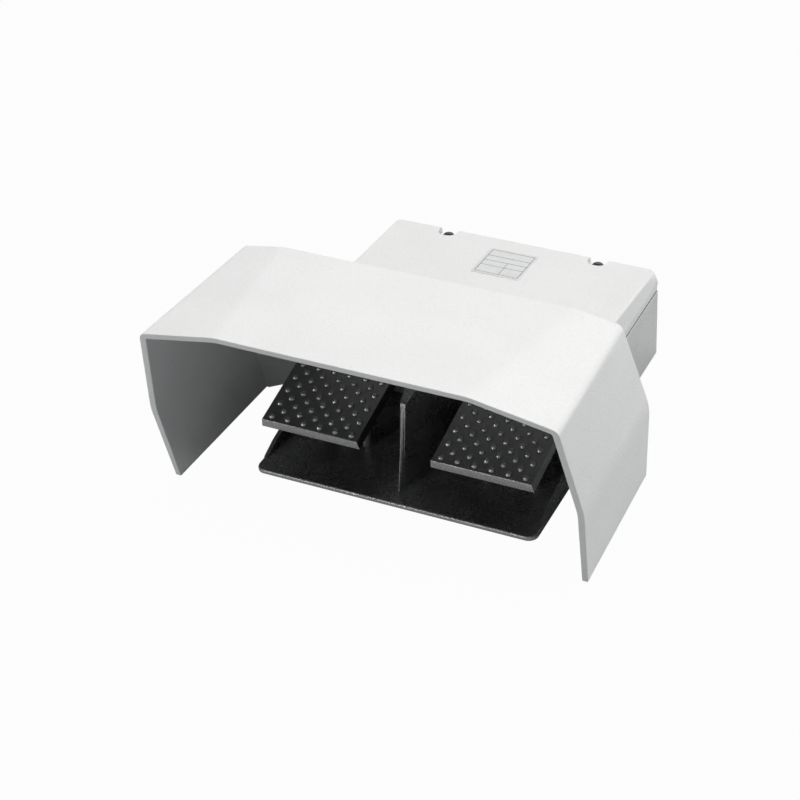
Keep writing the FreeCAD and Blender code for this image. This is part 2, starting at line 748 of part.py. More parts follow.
def make_housing_seal():
    body = new_body("housing_seal")
    window = seal_inset + seal_width
    for kind, name, edge, corner in (
            (pad, "band", seal_inset, housing_corner - seal_inset), (pocket, "window", window, inner_corner)):
        kind(body, name, "XY", parting, lambda s: rectangle(
            s, -(half - edge), box_front + edge, half - edge, rear - edge, corner), seal_thickness)
    for x, y in cover_screw_spots[:2]:
        pocket(body, "screw_hole", "XY", parting, lambda s: circle(s, x, y, screw_radius + hole_play),
               seal_thickness)
    keep(body)


# Cover: lofted hood of the box, with a skirt over the pedals' rear ends
def make_cover():
    body = new_body("cover")

    def section(name, z, side, start, end, corner, sloped=False):
        flat = sketch(body, name, "XY", z, -cover_slope if sloped else None)
        stretch = cosine(cover_slope) if sloped else size(1)
        outline(flat, [(-side, start / stretch, corner), (side, start / stretch, corner),
                       (side, end / stretch, corner), (-side, end / stretch, corner)])
        return flat

    def loft(kind, name, sections):
        made = body.newObject("PartDesign::" + kind, "cover_" + name)
        made.Profile = sections[0]
        made.Sections = sections[1:]
        made.Ruled = True
        return made

    lip_half = half - cover_lip_undercut
    lip_top = cover_foot + cover_lip_height
    top_half = half - cover_draft
    top_plane = cover_top_at(size(0))
    top_rear = rear - cover_draft
    loft("AdditiveLoft", "shell", [
        section("foot", cover_foot, lip_half, cover_front, rear - cover_lip_undercut, cover_corner),
        section("lip", lip_top, half, cover_front, rear, cover_corner),
        section("shoulder", top_plane - cover_edge, top_half, cover_front, top_rear, cover_corner, True),
        section("top", top_plane, top_half - cover_edge, cover_front, top_rear - cover_edge,
                cover_corner - cover_edge, True)])
    room_half = half - cheek_thickness
    inner_top = top_plane - cover_wall
    rib_rear = box_front + housing_front_wall
    loft("SubtractiveLoft", "room", [
        section("room_foot", cover_foot, half - housing_wall, rib_rear, rear - housing_wall, inner_corner),
        section("room_top", inner_top, top_half - cover_wall, rib_rear, top_rear - cover_wall, inner_corner,
                True)])
    pocket(body, "porch", "XY", cover_foot, lambda s: rectangle(
        s, -room_half, cover_front + cover_wall, room_half, box_front), porch_height)
    loft("SubtractiveLoft", "porch_room", [
        section("porch_foot", cover_foot, top_half - cover_wall, cover_front + cover_wall, box_front,
                inner_corner),
        section("porch_top", inner_top, top_half - cover_wall, cover_front + cover_wall, box_front,
                inner_corner, True)])
    pocket(body, "mouth", "XZ", cover_front, lambda s: rectangle(
        s, -room_half, cover_foot - 1, room_half, deck_top_at(cover_front) + skirt_gap), cover_wall)
    block = notch_radius + cover_wall / 2
    for x, y in cover_screw_spots[:2]:
        pad(body, "rear_block", "XY", cover_foot, lambda s: rectangle(
            s, x - block, y - block, x + block, rear - cover_wall + 1), screw_seat - cover_foot)
    for x, y in cover_screw_spots[2:]:
        pad(body, "front_column", "XY", cover_foot, lambda s: circle(s, x, y, block),
            cover_top_at(y) - cover_wall + 1 - cover_foot)
    for x, y in cover_screw_spots[2:]:
        pocket(body, "recess", "XY", screw_seat, lambda s: circle(s, x, y, notch_radius), cover_rise * 3)
    for x, y in cover_screw_spots[:2]:
        pocket(body, "notch", "XY", screw_seat, lambda s: outline(s, [
            (x - notch_radius, y - notch_radius, notch_radius * 0.97),
            (x + notch_radius, y - notch_radius, notch_radius * 0.97),
            (x + notch_radius, rear + 5), (x - notch_radius, rear + 5)]), cover_rise * 3)
    for x, y in cover_screw_spots:
        pocket(body, "screw_hole", "XY", cover_foot, lambda s: circle(s, x, y, screw_radius + hole_play),
               cover_rise)
    keep(body)


def make_cover_screws():
    body = slotted_screw("cover_screw", screw_radius, cover_screw_length, screw_head_radius,
                         screw_head_height)
    keep(copies("cover_screws", body, [(x, y, screw_seat) for x, y in cover_screw_spots]))


def make_type_plate():
    body = new_body("type_plate")
    stretch = cosine(cover_slope)
    end = rear - plate_rear
    flat = sketch(body, "blank", "XY", cover_top_at(size(0)), -cover_slope)
    rectangle(flat, -plate_width / 2, (end - plate_depth) / stretch, plate_width / 2,
              end / stretch, plate_round)
    feature(body, "Pad", flat, "XY", plate_gauge, 1)
    keep(body)


# Guard hood: one lofted shell, open to the front and below
def both_sides(points):
    """An outline that is the same on both sides, from its right-hand corners, foot first."""
    left = [(-size(corner[0]),) + tuple(corner[1:]) for corner in reversed(points)]
    return list(points) + left


def root(amount):
    return Size(math.sqrt(amount.value), f"sqrt({amount.text})")


def inset(corners, depth):
    """The corners of a convex outline, given anticlockwise, drawn in by a depth."""
    moved = []
    for i, corner in enumerate(corners):
        normals = []
        for start, end in ((corners[i - 1], corner), (corner, corners[(i + 1) % len(corners)])):
            across, up = size(end[0]) - start[0], size(end[1]) - start[1]
            length = root(across * across + up * up)
            normals.append((-up / length, across / length))
        (ax, ay), (bx, by) = normals
        share = depth / (1 + ax * bx + ay * by)
        spot = (corner[0] + (ax + bx) * share, corner[1] + (ay + by) * share)
        moved.append(spot + ((size(corner[2]) - depth,) if len(corner) > 2 else ()))
    return moved


def make_hood():
    body = new_body("hood")
    front_points = [
        (hood_half - tip_inset, tip_height), (hood_half, bend_height, bend_radius),
        (hood_half - corner_inset, hood_height - corner_drop, corner_radius),
        (hood_half - crease_inset, hood_height, crease_radius)]
    rear_points = [
        (hood_half - foot_inset, foot_height), (hood_half - rear_bend_inset, rear_bend_height, bend_radius),
        (hood_half - rear_corner_inset, hood_height - rear_corner_drop, corner_radius),
        (hood_half - rear_crease_inset, hood_height - rear_crease_drop, crease_radius)]

    def section(name, points, y, lean, depth=0):
        stretch = cosine(lean)
        leaning = sketch(body, name, "XZ", y, lean)
        corners = both_sides([(c[0], size(c[1]) / stretch) + tuple(c[2:]) for c in points])
        outline(leaning, inset(corners, depth) if depth else corners)
        return leaning

    def loft(kind, name, sections):
        made = body.newObject("PartDesign::" + kind, "hood_" + name)
        made.Profile = sections[0]
        made.Sections = sections[1:]
        made.Ruled = True
        return made

    def opened(points):
        """The same corners with the foot lowered, so that what is cut reaches out of the bottom."""
        return [(points[0][0], points[0][1] - hood_wall * 3)] + points[1:]

    front_y, rear_y = hood_front_at(size(0)), hood_rear_at(size(0))
    edge = hood_edge / cosine(hood_rear_lean)
    loft("AdditiveLoft", "outside", [
        section("front", front_points, front_y, hood_front_lean),
        section("shoulder", rear_points, rear_y - edge * 1.5, hood_rear_lean),
        section("rear", [(c[0], c[1] + (hood_edge if n == 0 else 0)) + tuple(c[2:])
                         for n, c in enumerate(rear_points)], rear_y, hood_rear_lean, hood_edge)])
    loft("SubtractiveLoft", "inside", [
        section("inner_front", opened(front_points), front_y, hood_front_lean, hood_wall),
        section("inner_rear", opened(rear_points), rear_y - hood_wall / cosine(hood_rear_lean),
                hood_rear_lean, hood_wall)])
    gap_half = half + hood_gap
    wing_half = hood_half - foot_inset - hood_wall - wing_gap
    gap_top = cover_top_at(hood_rear_at(cover_top) - hood_wall * 2) + hood_gap
    pocket(body, "box_gap", "XZ", rear_y + 5, lambda s: outline(s, both_sides([
        (wing_half, foot_height - 12), (wing_half, foot_height + 0.8), (gap_half, wing_height),
        (gap_half, gap_top, cover_edge)])), hood_wall * 8, -1)
    lug_end = box_front + lug_length
    for sign in (1, -1):
        pad(body, "lug", "YZ", gap_half * sign, lambda s: outline(s, [
            (hood_rear_at(lug_low) - hood_wall / 2, lug_low), (lug_end, lug_low, lug_corner),
            (lug_end, lug_high, lug_corner), (hood_rear_at(lug_high) - hood_wall / 2, lug_high)]),
            lug_thickness, sign)
        for z in hood_screw_zs:
            pocket(body, "lug_hole", "YZ", (gap_half + lug_thickness) * sign, lambda s: circle(
                s, hood_screw_y, z, screw_radius + hole_play), lug_thickness, -sign)
    keep(body)


def make_hood_screws():
    body = slotted_screw("hood_screw", screw_radius, hood_screw_length, screw_head_radius,
                         screw_head_height)
    seat = half + hood_gap + lug_thickness
    right = copies("hood_screws_right", body, [(seat, hood_screw_y, z) for z in hood_screw_zs],
                   Vector(0, 1, 0), 90)
    keep(left_and_right("hood_screws", right))


def make_foot_pads():
    body = new_body("foot_pad")
    turned(body, "outline", [(0, 0), (pad_radius - pad_edge, 0), (pad_radius, pad_edge),
                             (pad_radius, under + pad_sink), (0, under + pad_sink)])
    spots = [(x, y, 0) for x in both_signs(half - pad_inset) for y in (front + pad_inset, rear - pad_inset)]
    keep(copies("foot_pads", body, spots))


# Pivot shaft and its retaining rings
clip_x = wall_width / 2 + clip_gap


def make_pedal_shaft():
    body = new_body("pedal_shaft")
    end = half - shaft_inset
    inner = shaft_radius - clip_groove
    upper = [(shaft_radius, clip_x), (inner, clip_x), (inner, clip_x + clip_thickness),
             (shaft_radius, clip_x + clip_thickness), (shaft_radius, end - shaft_chamfer),
             (shaft_radius - shaft_chamfer, end), (0, end)]
    turned(body, "outline", [(radius, -place_on) for radius, place_on in reversed(upper)] + upper)
    place(body, 0, pivot_y, pivot_z, Vector(0, 1, 0), 90)
    keep(body)


def make_shaft_clips():
    body = new_body("shaft_clip")
    pad(body, "ring", "YZ", 0, lambda s: circle(s, 0, 0, clip_radius), clip_thickness)
    pocket(body, "seat", "YZ", 0, lambda s: circle(s, 0, 0, shaft_radius - clip_groove), clip_thickness)
    throat = shaft_radius * 0.8
    pocket(body, "throat", "YZ", 0, lambda s: rectangle(s, -throat, -clip_radius - 1, throat, 0),
           clip_thickness)
    right = copies("shaft_clips_right", body, [(clip_x, pivot_y, pivot_z)])
    keep(left_and_right("shaft_clips", right))


# Pedals, drawn about the pivot with the deck level and then tilted to rest
hub_x = pedal_width / 2 - hub_length / 2 - hub_inset
stud_columns = int((pedal_width - 2 * (stud_radius + stud_margin)).value // stud_pitch_across.value) + 1
stud_room = cover_front - front - pedal_setback - stud_first + stud_radius
stud_rows = int(stud_room.value // stud_pitch_along.value) + 1


def make_pedals():
    body = new_body("pedal_right")
    wide = pedal_width / 2
    rim = pedal_rim
    foot = deck_top - pedal_lip
    slab = sketch(body, "slab", "XY", foot)
    outline(slab, [(-wide, deck_start, 3), (wide, deck_start, 3), (wide, pedal_tail), (-wide, pedal_tail)])
    feature(body, "Pad", slab, "XY", pedal_lip, 1)
    pocket(body, "underside", "XY", foot, lambda s: rectangle(
        s, -wide + rim, deck_start + rim, wide - rim, pedal_tail + 1), pedal_lip - pedal_deck)
    for x in both_signs(hub_x):
        pad(body, "rib", "YZ", x - pedal_rib / 2, lambda s: outline(s, [
            (deck_start + 2 * rim, deck_under + 1), (deck_start + 2 * rim, foot), (-hub_radius * 3, foot),
            (-hub_radius + 0.5, -2), (hub_radius - 1, -2), (pedal_tail - 0.5, foot),
            (pedal_tail - 0.5, deck_under + 1)]), pedal_rib)
        pad(body, "hub", "YZ", x - hub_length / 2, lambda s: circle(s, 0, 0, hub_radius), hub_length)
    pocket(body, "hub_bore", "YZ", 0, lambda s: circle(s, 0, 0, shaft_radius + shaft_play + bush_wall),
           pedal_width + 2, 0)
    arm = sketch(body, "arm", "YZ", -arm_width / 2)
    arm.AttachmentOffset = FreeCAD.Placement(arm.AttachmentOffset.Base,
                                             FreeCAD.Rotation(Vector(0, 0, 1), -pedal_slope.value))
    bind(arm, "AttachmentOffset.Rotation.Angle", pedal_slope * -1)
    arm_front, arm_low = -arm_setback - arm_thickness, -arm_drop - arm_foot
    outline(arm, [(arm_front, arm_low, 2), (-arm_setback, arm_low, 2), (-arm_setback, deck_top),
                  (arm_front, deck_top)])
    feature(body, "Pad", arm, "YZ", arm_width, 1)
    seat = sketch(body, "seat", "XY", 0, -pedal_slope)
    circle(seat, 0, -seat_setback, seat_radius)
    feature(body, "Pad", seat, "XY", deck_top, 1)
    hole = sketch(body, "adjuster_hole", "XZ", 0, -pedal_slope)
    circle(hole, 0, -arm_drop, set_screw_radius + thread_play)
    feature(body, "Pocket", hole, "XZ", arm_setback + arm_thickness * 2, -1)
    pocket(body, "trim", "XY", deck_top, lambda s: rectangle(
        s, -wide - 1, deck_start - 1, wide + 1, pedal_tail + 1), deck_top)
    for name, fewer in (("wide_rows", 0), ("narrow_rows", 1)):
        across, along = stud_columns - fewer, stud_rows - fewer
        foot_print = sketch(body, name + "_foot", "XY", deck_top)
        polygon(foot_print, stud_pitch_across * (-(across - 1) / 2),
                deck_start + stud_first + stud_pitch_along * (fewer / 2), stud_radius, 6)
        stud = feature(body, "Pad", foot_print, "XY", stud_height, 1)
        bind(stud, "TaperAngle", -stud_taper)
        doc.recompute()
        rows = body.newObject("PartDesign::LinearPattern", name)
        rows.Originals = [stud]
        axes = {item.Role: item for item in body.Origin.OriginFeatures}
        rows.Direction = (axes["X_Axis"], [""])
        rows.Direction2 = (axes["Y_Axis"], [""])
        rows.Mode = rows.Mode2 = "Spacing"
        rows.Occurrences, rows.Occurrences2 = across, along
        bind(rows, "Offset", stud_pitch_across)
        bind(rows, "Offset2", stud_pitch_along)
        body.Tip = rows
    place(body, pedal_x, pivot_y, pivot_z, Vector(1, 0, 0), pedal_slope)
    keep(body, mirrored(body, "pedal_left"))


def make_pedal_bushes():
    body = new_body("pedal_bush")
    outer = shaft_radius + shaft_play + bush_wall
    end = hub_length / 2
    bore = shaft_radius + shaft_play
    turned(body, "outline", [(bore, -end), (outer, -end), (outer, end), (bore, end)])
    spots = [(pedal_x + x, pivot_y, pivot_z) for x in both_signs(hub_x)]
    right = copies("pedal_bushes_right", body, spots, Vector(0, 1, 0), 90)
    keep(right, mirrored(right, "pedal_bushes_left"))


def make_adjusting_screws():
    body = new_body("adjusting_screw_right")
    neck = set_screw_tip * 0.4
    ball = [(set_screw_tip * sine(size(turn)), set_screw_tip * cosine(size(turn))) for turn in (30, 60)]
    turned(body, "outline", [(0, set_screw_tip)] + ball + [
        (set_screw_tip, 0), (set_screw_tip, -neck), (set_screw_radius, -neck),
        (set_screw_radius, -adjuster_length), (0, -adjuster_length)])
    pocket(body, "socket", "XY", -adjuster_length, lambda s: hexagon(s, set_screw_radius), set_screw_radius)
    place(body, pedal_x, pivot_y - ball_setback, plunger_z, Vector(1, 0, 0), -90)
    keep(body, mirrored(body, "adjusting_screw_left"))


def make_lock_nuts():
    body = new_body("lock_nut_right")
    pad(body, "flats", "XY", 0, lambda s: hexagon(s, nut_flats), nut_height)
    pocket(body, "thread", "XY", 0, lambda s: circle(s, 0, 0, set_screw_radius), nut_height)
    place(body, pedal_x, arm_front_y, plunger_z, Vector(1, 0, 0), 90)
    keep(body, mirrored(body, "lock_nut_left"))


def coil(label, axis_radius, wire, turns, length):
    """An open coil spring of six-sided wire, given by its half thickness, on the body's XY plane."""
    body = new_body(label)
    profile = sketch(body, "wire", "XZ")
    polygon(profile, axis_radius, wire, wire, 6)
    made = body.newObject("PartDesign::AdditiveHelix", label + "_coil")
    made.Profile = profile
    made.ReferenceAxis = (profile, ["V_Axis"])
    made.Mode = "pitch-height-angle"
    bind(made, "Pitch", length / turns)
    bind(made, "Height", length - 2 * wire)
    return body


def make_pedal_springs():
    wire = spring_wire / 2
    length = pivot_z - plate_top - 2 * stop_gap
    body = coil("pedal_spring_right", seat_radius - wire, wire, spring_turns, length)
    place(body, pedal_x, seat_y, plate_top + stop_gap)
    keep(body, mirrored(body, "pedal_spring_left"))


def make_rest_stops():
    body = new_body("rest_stop")
    pad(body, "rubber", "XY", 0, lambda s: rectangle(
        s, -stop_width / 2, 0, stop_width / 2, stop_thickness), stop_height)
    keep(copies("rest_stops", body, [(x, stop_y, plate_top) for x in both_signs(pedal_x)]))


def make_end_buffers():
    body = new_body("end_buffer")
    turned(body, "outline", [
        (0, 0), (buffer_radius, 0), (buffer_radius, buffer_height - buffer_edge),
        (buffer_radius - buffer_edge, buffer_height), (0, buffer_height)])
    keep(copies("end_buffers", body, [(x, buffer_y, buffer_top - buffer_height) for x in buffer_xs]))


# Plungers, guides and switch blocks
plunger_y = pivot_y - ball_setback + set_screw_tip + plunger_gap
carrier_y = block_front + block_wall + carrier_gap
cavity_floor = block_floor + block_wall
block_top = block_floor + block_height
bridge_half = block_width / 2 - block_side - 0.7
closed_y = carrier_y + bridge_setback
open_y = carrier_y + carrier_length - bridge_setback - bridge_thickness
strip_ys = (closed_y - bridge_thickness - contact_gap,
            open_y + bridge_thickness + plunger_travel + contact_gap)
terminal_shift = strip_width / 2 + bridge_thickness


def make_guide_bushes():
    body = new_body("guide_bush_right")
    bore, groove = plunger_radius + shaft_play, plunger_radius + ring_play + 2 * ring_section
    flange, wall = guide_radius + guide_flange, housing_front_wall
    low, high = (wall - groove_length) / 2, (wall + groove_length) / 2
    turned(body, "outline", [
        (bore, 0), (guide_radius, 0), (guide_radius, wall), (flange, wall), (flange, wall + guide_flange),
        (bore, wall + guide_flange), (bore, high), (groove + ring_play, high), (groove + ring_play, low),
        (bore, low)])
    place(body, pedal_x, box_front, plunger_z, Vector(1, 0, 0), -90)
    keep(body, mirrored(body, "guide_bush_left"))


def make_plunger_seals():
    body = new_body("plunger_seal_right")
    profile = sketch(body, "section", "XZ")
    polygon(profile, plunger_radius + ring_play + ring_section, housing_front_wall / 2, ring_section, 6)
    ring = body.newObject("PartDesign::Revolution", "plunger_seal_ring")
    ring.Profile = profile
    ring.ReferenceAxis = (profile, ["V_Axis"])
    place(body, pedal_x, box_front, plunger_z, Vector(1, 0, 0), -90)
    keep(body, mirrored(body, "plunger_seal_left"))


def make_plungers():
    body = new_body("plunger_right")
    end = carrier_y - plunger_y
    turned(body, "outline", [
        (0, 0), (plunger_head_radius - plunger_chamfer, 0), (plunger_head_radius, plunger_chamfer),
        (plunger_head_radius, plunger_head), (plunger_radius, plunger_head), (plunger_radius, end),
        (0, end)])
    place(body, pedal_x, plunger_y, plunger_z, Vector(1, 0, 0), -90)
    keep(body, mirrored(body, "plunger_left"))


def make_switch_bodies():
    body = new_body("switch_body_right")
    left, right = switch_x - block_width / 2, switch_x + block_width / 2
    pad(body, "block", "XY", block_floor, lambda s: rectangle(s, left, block_front, right, block_rear),
        block_height)
    for ear_left in (left - ear_length, right - 1):
        pad(body, "ear", "XY", block_floor, lambda s: rectangle(
            s, ear_left, block_middle - ear_depth / 2, ear_left + ear_length + 1,
            block_middle + ear_depth / 2), ear_thickness)
    for x in (left - ear_length / 2, right + ear_length / 2):
        pocket(body, "ear_hole", "XY", block_floor, lambda s: circle(
            s, x, block_middle, small_screw_radius + hole_play), ear_thickness)
    pocket(body, "cavity", "XY", cavity_floor, lambda s: rectangle(
        s, left + block_side, block_front + block_wall, right - block_side, block_rear - block_wall),
        block_height)
    pocket(body, "plunger_hole", "XZ", block_front, lambda s: circle(
        s, switch_x, plunger_z, plunger_radius + hole_play), block_wall)
    for y in strip_ys:
        for slot_left in (left + 2, right - block_side - 1):
            pocket(body, "strip_slot", "XY", block_top, lambda s: rectangle(
                s, slot_left, y, slot_left + block_side - 1, y + bridge_thickness),
                block_top - plunger_z + bridge_height / 2, -1)
        for x in (left + terminal_inset, right - terminal_inset):
            pocket(body, "terminal_thread", "XY", block_top, lambda s: circle(
                s, x, y + terminal_shift, terminal_screw_radius + thread_play),
                terminal_screw_length + 1, -1)
    keep(body, mirrored(body, "switch_body_left"))


def make_switch_lids():
    body = new_body("switch_lid_right")
    reach = block_width / 2 - block_side - 0.1
    pad(body, "plate", "XY", block_top, lambda s: rectangle(
        s, switch_x - reach, block_front, switch_x + reach, block_rear), lid_thickness)
    keep(body, mirrored(body, "switch_lid_left"))


def make_fixed_contacts():
    """Two pairs of strips: the front pair is closed at rest, the rear pair when the pedal is down."""
    strips = []
    for name, y in zip(("closed", "open"), strip_ys):
        for side, sign in (("inner", -1), ("outer", 1)):
            body = new_body(f"contact_{name}_{side}")
            wall_face = switch_x + (block_width / 2 - block_side) * sign
            spans = sorted((wall_face - strip_width * sign, wall_face + (block_side - 2.1) * sign),
                           key=lambda edge: edge.value)
            pad(body, "blade", "XZ", y, lambda s: rectangle(
                s, spans[0], plunger_z - bridge_height / 2, spans[1], block_top), bridge_thickness)
            tabs = sorted((wall_face + 0.2 * sign, switch_x + (block_width / 2 - 0.3) * sign),
                          key=lambda edge: edge.value)
            pad(body, "tab", "XY", block_top, lambda s: rectangle(
                s, tabs[0], y, tabs[1], y + 2 * terminal_shift), bridge_thickness)
            pocket(body, "tab_hole", "XY", block_top, lambda s: circle(
                s, switch_x + (block_width / 2 - terminal_inset) * sign, y + terminal_shift,
                terminal_screw_radius + hole_play), bridge_thickness)
            strips.append(body)
    right = group("fixed_contacts_right", strips)
    keep(right, mirrored(right, "fixed_contacts_left"))


def make_terminal_screws():
    body = plain_screw("terminal_screw", terminal_screw_radius, terminal_screw_length,
                       terminal_head_radius, terminal_head_height)
    seat = block_top + bridge_thickness
    spots = [(switch_x + x, y + terminal_shift, seat)
             for y in strip_ys for x in both_signs(block_width / 2 - terminal_inset)]
    right = copies("terminal_screws_right", body, spots)
    keep(right, mirrored(right, "terminal_screws_left"))


def make_contact_carriers():
    body = new_body("contact_carrier_right")
    low = plunger_z - carrier_height / 2
    left = switch_x - carrier_width / 2
    pad(body, "bar", "XY", low, lambda s: rectangle(
        s, left, carrier_y, left + carrier_width, carrier_y + carrier_length), carrier_height)
    for y in (closed_y, open_y):
        pocket(body, "window", "YZ", switch_x, lambda s: rectangle(
            s, y, plunger_z - bridge_height / 2, y + bridge_thickness, plunger_z + bridge_height / 2),
            carrier_width + 2, 0)
    keep(body, mirrored(body, "contact_carrier_left"))


def make_moving_contacts():
    body = new_body("contact_bridge")
    pad(body, "strip", "XY", 0, lambda s: rectangle(
        s, -bridge_half, 0, bridge_half, bridge_thickness), bridge_height)
    right = copies("moving_contacts_right", body, [(switch_x, y, plunger_z - bridge_height / 2)
                                                   for y in (closed_y, open_y)])
    keep(right, mirrored(right, "moving_contacts_left"))


def make_contact_springs():
    start = carrier_y + carrier_length + contact_gap
    length = block_rear - block_wall - contact_gap - start
    body = coil("contact_spring_right", coil_radius, coil_wire / 2, coil_turns, length)
    place(body, switch_x, start, plunger_z, Vector(1, 0, 0), -90)
    keep(body, mirrored(body, "contact_spring_left"))


def make_switch_mounting_screws():
    body = plain_screw("switch_mounting_screw", small_screw_radius, ear_thickness + block_pad,
                       small_head_radius, small_head_height)
    reach = block_width / 2 + ear_length / 2
    spots = [(side + x, block_middle, block_floor + ear_thickness)
             for side in both_signs(switch_x) for x in both_signs(reach)]
    keep(copies("switch_mounting_screws", body, spots))


def make_earth_screw():
    body = plain_screw("earth_screw", small_screw_radius, earth_boss * 0.75, small_head_radius,
                       small_head_height)
    place(body, switch_x, earth_y, floor_top + earth_boss)
    keep(body)


make_base_casting()
make_base_screws()
make_switch_housing()
make_housing_seal()
make_cover()
make_cover_screws()
make_type_plate()
make_hood()
make_hood_screws()
make_foot_pads()
make_pedal_shaft()
make_shaft_clips()
make_pedals()
make_pedal_bushes()
make_adjusting_screws()
make_lock_nuts()
make_pedal_springs()
make_rest_stops()
make_end_buffers()
make_guide_bushes()
make_plunger_seals()
make_plungers()
make_switch_bodies()
make_switch_lids()
make_fixed_contacts()
make_terminal_screws()
make_contact_carriers()
make_moving_contacts()
make_contact_springs()
make_switch_mounting_screws()
make_earth_screw()

doc.recompute()
for item in doc.Objects:
    if "Invalid" in item.State or "Error" in item.State:
        raise RuntimeError(f"{item.Label} was not made: {item.State}")
for item in pieces:
    if item.Shape.isNull() or not item.Shape.isValid():
        raise RuntimeError(f"{item.Label} has no valid shape")

os.makedirs("parts", exist_ok=True)
for item in pieces:
    item.Shape.exportStep(f"parts/{item.Label}.step")
    print(item.Label, len(item.Shape.Solids), round(item.Shape.Volume, 1))
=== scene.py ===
"""Looks of a two-pedal industrial foot switch: a wide light grey guard hood over two black studded pedals.

Lengths are in metres, X to the operator's right, Y to the rear and Z up, with the floor at Z = 0.
"""
import json
import math

import bmesh
import bpy
from mathutils import Matrix, Vector


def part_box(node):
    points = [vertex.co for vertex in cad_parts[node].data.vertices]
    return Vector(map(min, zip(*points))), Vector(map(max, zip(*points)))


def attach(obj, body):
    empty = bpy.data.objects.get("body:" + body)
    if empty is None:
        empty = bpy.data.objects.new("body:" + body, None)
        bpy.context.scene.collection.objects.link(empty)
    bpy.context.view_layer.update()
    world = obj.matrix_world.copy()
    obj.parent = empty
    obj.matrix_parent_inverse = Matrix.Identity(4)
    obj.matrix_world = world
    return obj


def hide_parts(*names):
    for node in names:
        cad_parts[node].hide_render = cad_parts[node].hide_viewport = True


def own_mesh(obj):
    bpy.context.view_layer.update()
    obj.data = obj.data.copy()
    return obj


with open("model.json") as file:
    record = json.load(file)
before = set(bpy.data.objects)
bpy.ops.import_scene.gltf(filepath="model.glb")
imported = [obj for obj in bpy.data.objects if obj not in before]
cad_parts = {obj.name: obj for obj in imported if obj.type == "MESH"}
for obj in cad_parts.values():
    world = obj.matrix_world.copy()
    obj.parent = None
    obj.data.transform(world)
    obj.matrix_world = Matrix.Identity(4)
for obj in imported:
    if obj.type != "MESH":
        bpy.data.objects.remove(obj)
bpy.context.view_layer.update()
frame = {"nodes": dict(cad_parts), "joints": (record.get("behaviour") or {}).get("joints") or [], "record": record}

bl_info = {
    "name": "Foot switch looks",
    "version": (1, 1, 0),
    "blender": (4, 5, 0),
    "location": "View3D > Sidebar > Foot switch",
    "description": "Builds the finished surfaces of a two-pedal foot switch round its solids",
    "category": "Object",
}

MM = 0.001
# Places a hair apart count as one level, and faces that turn by less than FLAT count as one plane.
HAIR = 0.1 * MM
FLAT = math.radians(0.3)
# The face attribute that says how much painted highlight a face gets, from 0 to 1.
PAINTED_HIGHLIGHT = "painted_highlight"
behaviour = frame["record"]["behaviour"]
BODY_OF = {node: body for body, nodes in behaviour["bodies"].items() for node in nodes}
SLOT_OF = {entry["node"]: entry["material_slot"] for entry in frame["record"]["subparts"]}
JOINTS = {joint["name"]: joint for joint in frame["joints"]}
PEDAL_SLOPE = math.radians(13.0)
PEDAL_PIVOT = Vector(JOINTS["right_pedal_press"]["pos_m"])
FINISHES = {}


class Wire:
    """One output of a shader tree, with arithmetic that adds the nodes for it."""

    def __init__(self, tree, socket):
        self.tree = tree
        self.socket = socket

    def maths(self, operation, *others, swap=False):
        """Adds a Math node on this value and the others; a swap puts this value second."""
        inputs = [self.socket] + [getattr(other, "socket", other) for other in others]
        if swap:
            inputs[0], inputs[1] = inputs[1], inputs[0]
        return self.tree.node("ShaderNodeMath", {"operation": operation}, dict(enumerate(inputs)))

    def __add__(self, other):
        return self.maths("ADD", other)

    def __radd__(self, other):
        return self.maths("ADD", other)

    def __sub__(self, other):
        return self.maths("SUBTRACT", other)

    def __rsub__(self, other):
        return self.maths("SUBTRACT", other, swap=True)

    def __mul__(self, other):
        return self.maths("MULTIPLY", other)

    def __rmul__(self, other):
        return self.maths("MULTIPLY", other)

    def __truediv__(self, other):
        return self.maths("DIVIDE", other)

    def absolute(self):
        return self.maths("ABSOLUTE")

    def above(self, level):
        return self.maths("GREATER_THAN", level)

    def below(self, level):
        return self.maths("LESS_THAN", level)

    def larger(self, other):
        return self.maths("MAXIMUM", other)

    def part(self, low, high, start=0.0, end=1.0):
        """Where this value lies between two levels, from start to end, without overshoot."""
        return self.tree.node("ShaderNodeMapRange", {"clamp": True}, {
            "Value": self.socket, "From Min": low, "From Max": high, "To Min": start, "To Max": end})


